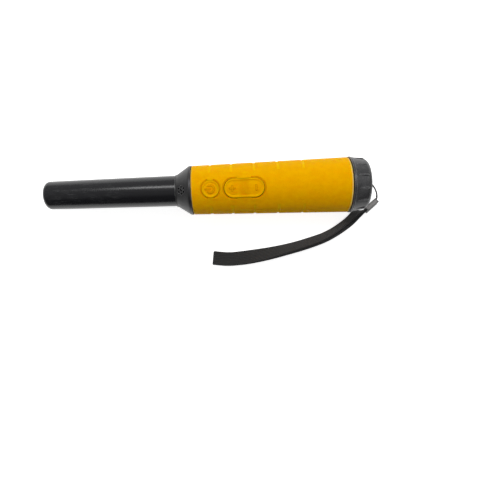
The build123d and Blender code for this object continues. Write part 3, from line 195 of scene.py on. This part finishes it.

# Painted shade in the moats round the keys, painted highlight in the side grooves, and dust with a painted
# highlight on the end rims: colours, shares, and depths or distances where they fade in
MOAT_SHADE_COLOUR = (0.70, 0.29, 0.0)
MOAT_SHADE_SHARE = 0.5
MOAT_DEPTH = (0.05 * MM, 0.5 * MM)
GROOVE_HIGHLIGHT_COLOUR = (1.0, 0.58, 0.0)
GROOVE_HIGHLIGHT_SHARE = 0.85
GROOVE_DEPTH = (0.15 * MM, 0.35 * MM)
RIM_DUST_AND_HIGHLIGHT_COLOUR = (0.96, 0.64, 0.20)
FRONT_RIM = (0.9 * MM, 0.3 * MM)
REAR_RIM = (1.5 * MM, 0.8 * MM)

# Keys: colours and shares of the painted highlight on the rim and of the painted shade along the icon's
# edges, which the rocker's band also takes, how wide those edges are, and how far from the key's spine the
# rim's highlight fades in
KEY_RIM_HIGHLIGHT_COLOUR = (1.0, 0.51, 0.0)
KEY_RIM_HIGHLIGHT_SHARE = 0.8
KEY_SHADE_COLOUR = (0.55, 0.22, 0.0)
KEY_ICON_SHADE_SHARE = 0.8
KEY_ICON_EDGE = 0.7 * MM
POWER_RIM = (3.9 * MM, 4.7 * MM)
ROCKER_RIM = (4.7 * MM, 5.5 * MM)

# Rocker: half the length of its spine, and the fade, on each side of the middle, of a band of painted shade
# across its saddle, with that shade's share
ROCKER_SPINE = 7.9 * MM
ROCKER_SHADE_BAND = (5.3 * MM, 1.7 * MM)
ROCKER_SHADE_BAND_SHARE = 0.24

# Crimp: dark and pale of its sides, painted dark as in shade, and of its top, painted pale as lit, and how
# wide its edges stay painted dark as shade
CRIMP_SHADED_SIDE = ((0.014, 0.0135, 0.013), (0.034, 0.033, 0.032))
CRIMP_LIT_TOP = ((0.15, 0.143, 0.138), (0.33, 0.318, 0.31))
CRIMP_SHADED_EDGE = 2.4 * MM

# Copper wire with the spacing of its turns, and the search lamp's lens
COPPER_DARK = (0.42, 0.15, 0.05)
COPPER_PALE = (0.62, 0.26, 0.10)
COPPER_PITCH = 0.3 * MM
LENS_DULL = (0.93, 0.95, 0.97)
LENS_CLEAR = (0.99, 0.99, 1.0)

# Edge marks, and dirt with painted shade in recesses: edges fade in between these cosines of their turn, dirt
# and shade between these shares of open sky
EDGE_COSINES = (0.995, 0.9)
OPEN_SKY = (0.95, 0.3)
DIRT_AND_SHADE_REACH = 1.2 * MM

# Sockets of the colour mix node, which share their names
MIX_A, MIX_B, MIX_RESULT = 6, 7, 2


class Nodes:
    """A node tree, with short calls that add nodes and join them."""

    def __init__(self, tree):
        self.tree = tree

    def join(self, value, socket):
        """Links an output to a socket, or sets the socket to a plain value."""
        if isinstance(value, bpy.types.NodeSocket):
            self.tree.links.new(value, socket)
        else:
            socket.default_value = value

    def node(self, kind, sockets=None, **settings):
        """Adds a node with its settings, and joins values to its sockets by name or number."""
        made = self.tree.nodes.new(kind)
        for word, value in settings.items():
            setattr(made, word, value)
        for socket, value in (sockets or {}).items():
            self.join(value, made.inputs[socket])
        return made

    def axis(self, letter, vector):
        """X, Y or Z of a vector."""
        return self.node("ShaderNodeSeparateXYZ", {0: vector}).outputs[letter]

    def maths(self, operation, first, second=0.0):
        """Result of an operation on one value or two."""
        return self.node("ShaderNodeMath", {0: first, 1: second}, operation=operation).outputs["Value"]

    def product(self, first, second):
        """One value times another."""
        return self.maths("MULTIPLY", first, second)

    def rest(self, share):
        """What a share leaves of the whole."""
        return self.maths("SUBTRACT", 1.0, share)

    def weighed(self, first, second, share):
        """Mean of two values, with the first one's share."""
        return self.maths("ADD", self.product(first, share), self.product(second, 1 - share))

    def distance(self, first, second):
        """Length of a line from its two parts at right angles."""
        squares = self.maths("ADD", self.product(first, first), self.product(second, second))
        return self.maths("SQRT", squares)

    def span(self, value, start, end, low=0.0, high=1.0, step="SMOOTHSTEP"):
        """Step of a value from low at start to high at end."""
        sockets = {"Value": value, "From Min": start, "From Max": end, "To Min": low, "To Max": high}
        return self.node("ShaderNodeMapRange", sockets, interpolation_type=step).outputs["Result"]


class Finish(Nodes):
    """A material whose textures follow object coordinates, which are the part's own frame."""

    def __init__(self, name, constants):
        self.material = bpy.data.materials.new(name)
        self.material.use_nodes = True
        super().__init__(self.material.node_tree)
        self.shader = self.tree.nodes["Principled BSDF"]
        self.place = self.node("ShaderNodeTexCoord").outputs["Object"]
        for socket, value in constants.items():
            self.feed(socket, value)

    def feed(self, socket, value):
        """Joins a value to a socket of the shader."""
        self.join(value, self.shader.inputs[socket])

    def noise(self, scale, detail=3.0, rough=0.5, place=None):
        """Cloudy noise in the part's frame or at another place."""
        sockets = {"Vector": place or self.place, "Scale": scale, "Detail": detail, "Roughness": rough}
        return self.node("ShaderNodeTexNoise", sockets).outputs["Fac"]

    def streaks(self, along, across, detail=3.0, rough=0.6):
        """Noise with one scale along X and another across it."""
        scales = {0: self.place, 1: (along, across, across)}
        stretched = self.node("ShaderNodeVectorMath", scales, operation="MULTIPLY").outputs["Vector"]
        return self.noise(1.0, detail, rough, stretched)

    def attribute(self, name):
        """Value that a piece's mesh keeps at each point."""
        return self.node("ShaderNodeAttribute", attribute_name=name).outputs["Fac"]

    def mix(self, share, first, second):
        """Colour between two others, which are outputs or red, green and blue."""
        first, second = ((*given, 1) if isinstance(given, tuple) else given for given in (first, second))
        sockets = {"Factor": share, MIX_A: first, MIX_B: second}
        return self.node("ShaderNodeMix", sockets, data_type="RGBA").outputs[MIX_RESULT]

    def edges(self, radius):
        """Share of how much the surface turns within a radius, high along edges."""
        soft = self.node("ShaderNodeBevel", {"Radius": radius}, samples=6).outputs["Normal"]
        own = self.node("ShaderNodeNewGeometry").outputs["Normal"]
        same = self.node("ShaderNodeVectorMath", {0: soft, 1: own}, operation="DOT_PRODUCT")
        return self.span(same.outputs["Value"], *EDGE_COSINES)

    def dirtied_and_shaded(self, colour, dirt_and_shade, share):
        """Colour with a share of dirt and painted shade where nearby surfaces hide the sky, in grooves and
        corners.
        """
        sky = self.node("ShaderNodeAmbientOcclusion", {"Distance": DIRT_AND_SHADE_REACH}, samples=8).outputs["AO"]
        return self.mix(self.span(sky, *OPEN_SKY, high=share), colour, dirt_and_shade)

    def bump(self, height, distance, strength=1.0):
        """Relief from a height and how far it stands out."""
        sockets = {"Height": height, "Distance": distance, "Strength": strength}
        self.feed("Normal", self.node("ShaderNodeBump", sockets).outputs["Normal"])


def scaled(colour, factor):
    """Colour times a factor."""
    return tuple(factor * value for value in colour)


def gloss_black():
    """Glossy moulded probe with lengthwise scuffs and rubbed patches, most of them near the tip."""
    finish = Finish("gloss_black", {"Specular IOR Level": 0.42})
    scratches = finish.span(finish.streaks(110, 800, detail=4.0), 0.5, 0.72)
    patches = finish.span(finish.noise(110.0), 0.42, 0.6)
    rubbed = finish.span(finish.streaks(170, 420), 0.5, 0.75, 0.0, 0.5)
    along = finish.axis("X", finish.place)
    worn = finish.span(along, CAD_LOW.x + PROBE_FADED, CAD_LOW.x + PROBE_WORN, 0.1, 1.0)
    marks = finish.product(finish.maths("MAXIMUM", finish.product(scratches, patches), rubbed), worn)
    finish.feed("Base Color", finish.mix(marks, PROBE_CLEAN, PROBE_SCUFFED))
    finish.feed("Roughness", finish.span(marks, 0.0, 1.0, 0.22, 0.34))
    finish.bump(finish.streaks(150, 420, detail=2.0, rough=0.5), 0.04 * MM, 0.35)
    return finish.material


def satin_dark(name, shade=1.0):
    """Satin moulded plastic with a spark-eroded grain, dirt and painted shade in its recesses, and pale worn
    edges that also carry a painted highlight.
    """
    finish = Finish(name, {"Specular IOR Level": 0.5})
    grain = finish.noise(1500.0, rough=0.6)
    tone = finish.span(finish.weighed(grain, finish.noise(160.0), 0.65), 0.36, 0.64)
    colour = finish.mix(tone, scaled(SATIN_DARK, shade), scaled(SATIN_PALE, shade))
    patches = finish.span(finish.noise(380.0), 0.38, 0.6, 0.3, 1.0)
    # Pale worn edges, paled further as a painted highlight
    colour = finish.mix(finish.product(finish.edges(SATIN_EDGE), patches), colour, SATIN_WORN_AND_HIGHLIGHT)
    # Dirt and painted shade darken the recesses
    finish.feed("Base Color", finish.dirtied_and_shaded(colour, SATIN_DIRT_AND_SHADE, SATIN_DIRT_AND_SHADE_SHARE))
    finish.feed("Roughness", finish.span(grain, 0.3, 0.7, 0.3, 0.48))
    finish.bump(grain, 0.12 * MM, 0.6)
    return finish.material


def soft_rubber(name):
    """Soft matt rubber that light enters: its finish, its mottle and its mottled colour."""
    constants = {
        "Specular IOR Level": 0.06,
        "Specular Tint": RUBBER_SHINE,
        "Subsurface Weight": 0.5,
        "Subsurface Radius": RUBBER_SPREAD,
        "Subsurface Scale": RUBBER_DEPTH,
    }
    finish = Finish(name, constants)
    mottle = finish.noise(230.0, 4.0, 0.6)
    speck = finish.noise(1300.0, 2.0, 0.6)
    tone = finish.span(finish.weighed(mottle, speck, 0.65), 0.36, 0.62)
    finish.feed("Roughness", finish.span(mottle, 0.3, 0.7, 0.5, 0.64))
    finish.bump(finish.noise(2600.0, 2.0, 0.6), 0.04 * MM, 0.4)
    return finish, mottle, finish.mix(tone, RUBBER_DARK, RUBBER_PALE)


def grip_rubber():
    """Rubber of the grip: painted shade in the moats round the keys, a painted highlight in the side grooves,
    and dust with a painted highlight on the rims at both ends.
    """
    finish, mottle, colour = soft_rubber("yellow_rubber_grip")
    low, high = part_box("grip_sleeve")
    along, aside = (finish.axis(letter, finish.place) for letter in "XY")
    height = finish.maths("SUBTRACT", finish.axis("Z", finish.place), (low.z + high.z) / 2)
    surface = finish.span(along, low.x, high.x, GRIP_FRONT_RADIUS, GRIP_REAR_RADIUS, "LINEAR")
    depth = finish.maths("SUBTRACT", surface, finish.distance(aside, height))
    on_side = finish.span(finish.maths("ABSOLUTE", aside), *GRIP_SIDE)
    # Painted shade in the moats round the keys
    moat_shade = finish.product(finish.span(depth, *MOAT_DEPTH, high=MOAT_SHADE_SHARE), finish.rest(on_side))
    colour = finish.mix(moat_shade, colour, MOAT_SHADE_COLOUR)
    # Dirt and painted shade darken the recesses
    colour = finish.dirtied_and_shaded(colour, RUBBER_DIRT_AND_SHADE, RUBBER_DIRT_AND_SHADE_SHARE)
    # Painted highlight in the side grooves
    groove_highlight = finish.product(finish.span(depth, *GROOVE_DEPTH, high=GROOVE_HIGHLIGHT_SHARE), on_side)
    colour = finish.mix(groove_highlight, colour, GROOVE_HIGHLIGHT_COLOUR)
    # Dust with a painted highlight on the rounded rims at both ends
    front = finish.span(along, *(low.x + reach for reach in FRONT_RIM))
    rear = finish.span(along, *(high.x - reach for reach in REAR_RIM))
    patches = finish.span(mottle, 0.3, 0.6, 0.5, 1.0)
    rim = finish.product(finish.maths("MAXIMUM", front, rear), patches)
    finish.feed("Base Color", finish.mix(rim, colour, RIM_DUST_AND_HIGHLIGHT_COLOUR))
    return finish.material


def key_rubber(name, node, rim, spine=0.0, shade_band=None):
    """Rubber of a key: a painted highlight on its rim, painted shade along its icon's edges and, where asked,
    a band of painted shade across it.

    The rim follows the key's spine, a line along X whose half length is given; a round key has none.
    """
    finish, _, colour = soft_rubber(name)
    low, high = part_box(node)
    along, aside = (finish.axis(letter, finish.place) for letter in "XY")
    from_middle = finish.maths("ABSOLUTE", finish.maths("SUBTRACT", along, (low.x + high.x) / 2))
    past_spine = finish.maths("MAXIMUM", finish.maths("SUBTRACT", from_middle, spine), 0.0)
    on_rim_highlight = finish.span(finish.distance(past_spine, aside), *rim)
    # Painted highlight on the key's rim
    colour = finish.mix(finish.product(on_rim_highlight, KEY_RIM_HIGHLIGHT_SHARE), colour, KEY_RIM_HIGHLIGHT_COLOUR)
    # Painted shade along the icon's edges
    icon_shade = finish.product(finish.edges(KEY_ICON_EDGE), finish.rest(on_rim_highlight))
    colour = finish.mix(finish.product(icon_shade, KEY_ICON_SHADE_SHARE), colour, KEY_SHADE_COLOUR)
    # Dirt and painted shade darken the recesses
    colour = finish.dirtied_and_shaded(colour, RUBBER_DIRT_AND_SHADE, RUBBER_DIRT_AND_SHADE_SHARE)
    # A band of painted shade across the rocker's saddle
    if shade_band:
        in_shade_band = finish.span(from_middle, *shade_band, high=ROCKER_SHADE_BAND_SHARE)
        colour = finish.mix(in_shade_band, colour, KEY_SHADE_COLOUR)
    finish.feed("Base Color", colour)
    return finish.material


def moulded(name, colour, roughness=0.5):
    """Plain moulded plastic or rubber with a faint cloud and grain."""
    finish = Finish(name, {"Specular IOR Level": 0.4})
    cloud = finish.noise(220.0)
    finish.feed("Base Color", finish.mix(cloud, scaled(colour, 0.8), colour))
    finish.feed("Roughness", finish.span(cloud, 0.3, 0.7, roughness - 0.07, roughness + 0.07))
    finish.bump(finish.noise(2400.0, 2.0), 0.03 * MM, 0.3)
    return finish.material


def metal(name, colour, roughness=0.3):
    """Drawn or plated metal with fine brushing and dull patches."""
    finish = Finish(name, {"Metallic": 1.0})
    brushed = finish.streaks(200, 3000)
    finish.feed("Base Color", finish.mix(finish.noise(300.0), scaled(colour, 0.75), colour))
    finish.feed("Roughness", finish.span(brushed, 0.3, 0.7, roughness - 0.1, roughness + 0.1))
    finish.bump(brushed, 0.02 * MM, 0.3)
    return finish.material


def circuit_board():
    """Green solder mask with a pattern of paler tracks."""
    finish = Finish("circuit_board", {"Specular IOR Level": 0.5, "Roughness": 0.35})
    sockets = {
        "Vector": finish.place,
        "Scale": 420.0,
        "Mortar Size": 0.02,
        "Color1": (0.012, 0.11, 0.04, 1),
        "Color2": (0.016, 0.14, 0.05, 1),
        "Mortar": (0.05, 0.26, 0.10, 1),
    }
    tracks = finish.node("ShaderNodeTexBrick", sockets).outputs
    finish.feed("Base Color", tracks["Color"])
    finish.bump(tracks["Fac"], 0.03 * MM, 0.5)
    return finish.material


def copper_turns():
    """Enamelled wire wound in close turns along X."""
    finish = Finish("copper_turns", {"Metallic": 1.0, "Roughness": 0.3})
    turns = finish.product(finish.axis("X", finish.place), 2 * pi / COPPER_PITCH)
    finish.feed("Base Color", finish.mix(finish.noise(400.0), COPPER_DARK, COPPER_PALE))
    finish.bump(finish.maths("SINE", turns), 0.08 * MM)
    return finish.material


def clear_lens():
    """Polished clear moulding with faint flow lines."""
    finish = Finish("clear_lens", {"Transmission Weight": 1.0, "IOR": 1.49, "Specular IOR Level": 0.5})
    finish.feed("Base Color", finish.mix(finish.noise(500.0), LENS_DULL, LENS_CLEAR))
    finish.feed("Roughness", finish.span(finish.noise(900.0), 0.3, 0.7, 0.03, 0.12))
    finish.bump(finish.noise(200.0), 0.02 * MM, 0.2)
    return finish.material


def crimp_grey():
    """Grey crimp, painted pale as lit on its top, and painted dark as in shade on its sides and edges."""
    finish = Finish("crimp_painted_light", {"Specular IOR Level": 0.5})
    cloud = finish.noise(420.0, 4.0, 0.6)
    # Faces turned up are painted pale as lit; sides and edges are painted dark as in shade
    facing = finish.node("ShaderNodeNewGeometry").outputs["True Normal"]
    upward = finish.span(finish.axis("Z", facing), 0.45, 0.85)
    rubbed = finish.product(upward, finish.rest(finish.edges(CRIMP_SHADED_EDGE)))
    side, top = (finish.mix(cloud, *colours) for colours in (CRIMP_SHADED_SIDE, CRIMP_LIT_TOP))
    finish.feed("Base Color", finish.mix(rubbed, side, top))
    finish.feed("Roughness", finish.span(cloud, 0.3, 0.7, 0.35, 0.55))
    finish.bump(finish.noise(1800.0, 2.0), 0.05 * MM, 0.4)
    return finish.material


def woven(name, dark, pale, pitch):
    """Woven yarn: crosswise picks that step from rib to rib, on the piece's own along and across lengths."""
    finish = Finish(name, {"Specular IOR Level": 0.25, "Sheen Weight": 0.25, "Sheen Roughness": 0.5})
    along = finish.product(finish.attribute("along"), 2 * pi / pitch)
    across = finish.product(finish.attribute("across"), pi / (WEB_RIB_WIDTH * MM))
    picks = finish.span(finish.maths("SINE", finish.maths("ADD", along, across)), -0.8, 0.8)
    ribs = finish.span(finish.maths("ABSOLUTE", finish.maths("SINE", across)), 0.0, 0.7, 0.15, 1.0)
    fuzz = finish.noise(5200.0, rough=0.7)
    tone = finish.weighed(picks, fuzz, 0.6)
    finish.feed("Base Color", finish.mix(finish.product(tone, ribs), dark, pale))
    finish.feed("Roughness", finish.span(fuzz, 0.3, 0.7, 0.7, 0.88))
    finish.bump(tone, 0.12 * MM, 0.8)
    return finish.material


def dress_solids():
    """Gives each solid the finish of its material slot; the cone and the two keys have their own."""
    own = {
        "nose_cone": satin_dark("dark_texture_cone", CONE_SHADE),
        "power_button": key_rubber("yellow_rubber_power", "power_button", POWER_RIM),
        "sensitivity_rocker": key_rubber(
            "yellow_rubber_rocker", "sensitivity_rocker", ROCKER_RIM, ROCKER_SPINE, ROCKER_SHADE_BAND
        ),
    }
    finishes = {
        "black_gloss": gloss_black(),
        "dark_matte": satin_dark("dark_texture_cap"),
        "yellow_rubber": grip_rubber(),
        "frame_plastic": moulded("frame_moulding", (0.03, 0.03, 0.032)),
        "cord_black": moulded("cord_core", (0.02, 0.02, 0.021), 0.8),
        "webbing": moulded("webbing_core", (0.03, 0.03, 0.03), 0.8),
        "crimp_grey": crimp_grey(),
        "seal_rubber": moulded("seal_ring", (0.02, 0.02, 0.02), 0.4),
        "battery_case": moulded("battery_jacket", (0.05, 0.06, 0.07), 0.35),
        "contact_metal": metal("nickel_plate", (0.75, 0.75, 0.74), 0.25),
        "steel": metal("plain_steel", (0.6, 0.6, 0.6), 0.35),
        "foam": moulded("pad_foam", (0.08, 0.08, 0.085), 0.9),
        "lead_red": moulded("red_insulation", (0.5, 0.02, 0.02), 0.4),
        "lead_black": moulded("black_insulation", (0.02, 0.02, 0.02), 0.4),
        "board": circuit_board(),
        "chip_black": moulded("chip_epoxy", (0.025, 0.025, 0.027), 0.55),
        "part_metal": metal("can_aluminium", (0.6, 0.6, 0.62), 0.4),
        "brass_disc": metal("sounder_brass", (0.7, 0.5, 0.2), 0.3),
        "lens": clear_lens(),
        "lamp_body": moulded("lamp_epoxy", (0.9, 0.9, 0.85), 0.2),
        "ferrite": moulded("sintered_ferrite", (0.07, 0.07, 0.075), 0.6),
        "copper": copper_turns(),
        "cable": moulded("cable_jacket", (0.12, 0.12, 0.125), 0.45),
    }
    for name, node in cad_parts.items():
        for slot in node.material_slots:
            slot.material = own.get(name, finishes[slot.material.name])


def route_line(name, points, resolution):
    """Points of the smooth line that a route's points control."""
    curve = bpy.data.curves.new(name, "CURVE")
    curve.dimensions = "3D"
    curve.resolution_u = resolution
    spline = curve.splines.new("NURBS")
    spline.points.add(len(points) - 1)
    for point, place in zip(spline.points, points):
        point.co = (*place, 1)
    spline.order_u = 3
    spline.use_endpoint_u = True
    holder = bpy.data.objects.new(name, curve)
    mesh = bpy.data.meshes.new_from_object(holder)
    line = [vertex.co.copy() for vertex in mesh.vertices]
    bpy.data.meshes.remove(mesh)
    bpy.data.objects.remove(holder)
    bpy.data.curves.remove(curve)
    return line


def distances(line):
    """Length along a line at each of its points."""
    lengths = [0.0]
    for first, second in zip(line, line[1:]):
        lengths.append(lengths[-1] + (second - first).length)
    return lengths


def tangents(line):
    """Direction of a line at each of its points."""
    last = len(line) - 1
    return [(line[min(i + 1, last)] - line[max(i - 1, 0)]).normalized() for i in range(last + 1)]


def show(thing):
    """Puts an object into the scene."""
    bpy.context.scene.collection.objects.link(thing)


def tube_piece(name, rings, along, across):
    """Closed mesh through rings of points, with flat ends and its lengths kept as attributes."""
    sides = len(rings[0])
    points = [point for ring in rings for point in ring]
    faces = []
    for start in range(0, len(points) - sides, sides):
        for side in range(sides):
            after = (side + 1) % sides
            faces.append((start + side, start + after, start + sides + after, start + sides + side))
    faces.append(tuple(reversed(range(sides))))
    faces.append(tuple(range(len(points) - sides, len(points))))
    mesh = bpy.data.meshes.new(name)
    mesh.from_pydata(points, [], faces)
    mesh.polygons.foreach_set("use_smooth", [True] * (len(faces) - 2) + [False] * 2)
    lengths = mesh.attributes.new("along", "FLOAT", "POINT")
    lengths.data.foreach_set("value", [value for value in along for _ in range(sides)])
    widths = mesh.attributes.new("across", "FLOAT", "POINT")
    widths.data.foreach_set("value", list(across) * len(rings))
    mesh.update()
    piece = bpy.data.objects.new(name, mesh)
    show(piece)
    return piece


def web_row(foot, outward, lean, lift):
    """Middle of the webbing's width and half of its width, where it stands on its foot and leans outward."""
    half = (outward * cos(lean) + UP * sin(lean)) * WEB_WIDTH / 2
    height = lift + WEB_THICKNESS / 2 * abs(cos(lean))
    return foot + UP * height + half, half


def strap_edges():
    """Control points of the strap's two edges.

    They run out along the upper layer, round the fold and back along the lower layer.
    """
    edges = [Vector((row[0], row[1], 0)) for row in STRAP_ROUTE]
    ways = tangents(edges)
    upper, lower, fold = [], [], []
    for index, (edge, way, row) in enumerate(zip(edges, ways, STRAP_ROUTE)):
        _, _, tilt, spacing, splay = row
        outward = Vector((-way.y, way.x, 0))
        lean = radians(tilt)
        lift = WEB_FLOOR_GAP
        if index == 0:
            # the crimp round the first row holds it higher
            lift += WEB_CRIMP_MARGIN * sin(lean) + WEB_CRIMP_WALL * abs(cos(lean))
        foot = edge - outward * WEB_WIDTH * cos(lean)
        upper.append(web_row(foot, outward, lean, lift + spacing * max(cos(lean), 0)))
        foot = foot + outward * spacing * sin(lean)
        lower.append(web_row(foot, outward, radians(tilt - splay), lift + spacing * max(-cos(lean), 0)))
    (top, half), (bottom, _) = upper[-1], lower[-1]
    middle = (top + bottom) / 2
    layer = bottom - middle
    for step in range(1, WEB_FOLD_STEPS):
        turn = pi * step / WEB_FOLD_STEPS
        fold.append((middle + ways[-1] * layer.length * sin(turn) - layer * cos(turn), half))
    loop = upper + fold + lower[::-1]
    return [[(place + side * reach) * MM for place, reach in loop] for side in (-1, 1)]


def web_section():
    """Outline of the webbing as pairs of across and height: ribs above and below, round edges."""
    half_width, half_height = WEB_FLAT_WIDTH / 2, WEB_THICKNESS / 2
    steps = WEB_RIBS * WEB_RIB_STEPS
    top = []
    for step in range(steps + 1):
        across = half_width * (2 * step / steps - 1)
        rib = abs(sin(pi * WEB_RIBS * step / steps))
        top.append((across, half_height - WEB_RIB_DEPTH * (1 - rib)))
    edge_radius = half_height - WEB_RIB_DEPTH
    turns = [pi * step / WEB_EDGE_STEPS for step in range(1, WEB_EDGE_STEPS)]
    edge = [(half_width + edge_radius * sin(turn), edge_radius * cos(turn)) for turn in turns]
    half = top + edge
    return half + [(-across, -height) for across, height in half]


def make_strap():
    """Ribbed webbing, folded double, from the crimp to its fold and back."""
    left, right = (route_line("strap_edge", edge, WEB_RESOLUTION) for edge in strap_edges())
    line = [(first + second) / 2 for first, second in zip(left, right)]
    section = web_section()
    rings = []
    for first, second, middle, way in zip(left, right, line, tangents(line)):
        width_way = (second - first).normalized()
        face_way = way.cross(width_way).normalized()
        rings.append([middle + (width_way * across + face_way * height) * MM for across, height in section])
    strap = tube_piece("webbing_strap", rings, distances(line), [across * MM for across, _ in section])
    strap.data.materials.append(woven("black_webbing", WEB_DARK, WEB_PALE, WEB_PICK * MM))
    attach(strap, "cap")
    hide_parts("wrist_strap")


def make_cord():
    """Thin cord of twisted strands, from the crimp round the cap's bar and back to the crimp."""
    line = route_line("cord_route", CORD_ROUTE, CORD_RESOLUTION)
    ways = tangents(line)
    lengths = distances(line)
    side = ways[0].orthogonal().normalized()
    rings = []
    for place, way, length in zip(line, ways, lengths):
        side = (side - way * side.dot(way)).normalized()
        other = way.cross(side)
        ring = []
        for step in range(CORD_SIDES):
            turn = 2 * pi * step / CORD_SIDES
            strand = abs(cos(CORD_STRANDS * (turn - 2 * pi * length / CORD_LAY) / 2))
            radius = CORD_DIAMETER / 2 * (1 - CORD_STRAND_RELIEF * (1 - strand))
            ring.append(place + (side * cos(turn) + other * sin(turn)) * radius)
        rings.append(ring)
    around = [step * pi * CORD_DIAMETER / CORD_SIDES for step in range(CORD_SIDES)]
    cord = tube_piece("twisted_cord", rings, lengths, around)
    cord.data.materials.append(woven("cord_yarn", CORD_DARK, CORD_PALE, CORD_PICK))
    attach(cord, "cap")
    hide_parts("lanyard_cord")


def white_floor():
    """Diffuse white, with a glow that only the picture and reflections see."""
    material = bpy.data.materials.new("white_floor")
    material.use_nodes = True
    nodes = Nodes(material.node_tree)
    nodes.tree.nodes.clear()
    lit = nodes.node("ShaderNodeBsdfDiffuse", {"Color": FLOOR_COLOUR}).outputs[0]
    pale = nodes.node("ShaderNodeBsdfDiffuse", {"Color": FLOOR_SHOWN_COLOUR}).outputs[0]
    glow = nodes.node("ShaderNodeEmission", {"Strength": FLOOR_GLOW}).outputs[0]
    shown = nodes.node("ShaderNodeAddShader", {0: pale, 1: glow}).outputs[0]
    rays = nodes.node("ShaderNodeLightPath").outputs
    seen = rays["Is Camera Ray"]
    for ray in ("Is Glossy Ray", "Is Transmission Ray"):
        seen = nodes.maths("MAXIMUM", seen, rays[ray])
    mixed = nodes.node("ShaderNodeMixShader", {0: seen, 1: lit, 2: shown}).outputs[0]
    nodes.node("ShaderNodeOutputMaterial", {"Surface": mixed})
    return material


def make_floor():
    """Plain square floor just under the part."""
    half = FLOOR_SIZE / 2
    corners = [(-half, -half), (half, -half), (half, half), (-half, half)]
    mesh = bpy.data.meshes.new("floor")
    mesh.from_pydata([(x, y, -FLOOR_DROP) for x, y in corners], [], [(0, 1, 2, 3)])
    mesh.materials.append(white_floor())
    floor = bpy.data.objects.new("floor", mesh)
    show(floor)


def make_room():
    """World that is dark on the near side, grey overhead and paler on the far side."""
    world = bpy.data.worlds.new("room")
    world.use_nodes = True
    nodes = Nodes(world.node_tree)
    direction = nodes.node("ShaderNodeTexCoord").outputs["Generated"]
    side = nodes.span(nodes.axis("Y", direction), -1.0, 1.0, step="LINEAR")
    ramp = nodes.node("ShaderNodeValToRGB", {0: side})
    stops = ramp.color_ramp.elements
    stops.remove(stops[1])
    for place, shade in ROOM_SHADES:
        stops.new(place).color = (shade, shade, shade, 1)
    stops.remove(stops[0])
    nodes.join(ramp.outputs["Color"], nodes.tree.nodes["Background"].inputs["Color"])
    bpy.context.scene.world = world


def make_lamp():
    """Soft rectangular lamp aimed at the part."""
    lamp = bpy.data.lights.new("key_lamp", "AREA")
    lamp.shape = "RECTANGLE"
    lamp.size, lamp.size_y = LAMP_SIZE
    lamp.energy = LAMP_POWER
    holder = bpy.data.objects.new("key_lamp", lamp)
    holder.location = LAMP_SPOT
    holder.rotation_euler = (LAMP_AIM - LAMP_SPOT).to_track_quat("-Z", "Y").to_euler()
    show(holder)


def make_camera():
    """Camera at the photograph's place, turned by its roll from the level of X."""
    camera = bpy.data.cameras.new("camera")
    camera.lens = CAMERA_LENS
    camera.sensor_width = CAMERA_SENSOR
    camera.clip_start = CAMERA_CLIP
    ahead = (CAMERA_AIM - CAMERA_SPOT).normalized()
    level = Vector((cos(radians(CAMERA_ROLL)), sin(radians(CAMERA_ROLL)), 0))
    right = (level - ahead * level.dot(ahead)).normalized()
    turn = Matrix((right, right.cross(ahead), -ahead)).transposed()
    holder = bpy.data.objects.new("camera", camera)
    holder.matrix_world = Matrix.Translation(CAMERA_SPOT) @ turn.to_4x4()
    show(holder)
    bpy.context.scene.camera = holder


make_camera()
make_cord()
make_strap()
dress_solids()
make_floor()
make_room()
make_lamp()
bpy.context.scene.view_settings.view_transform = "Standard"
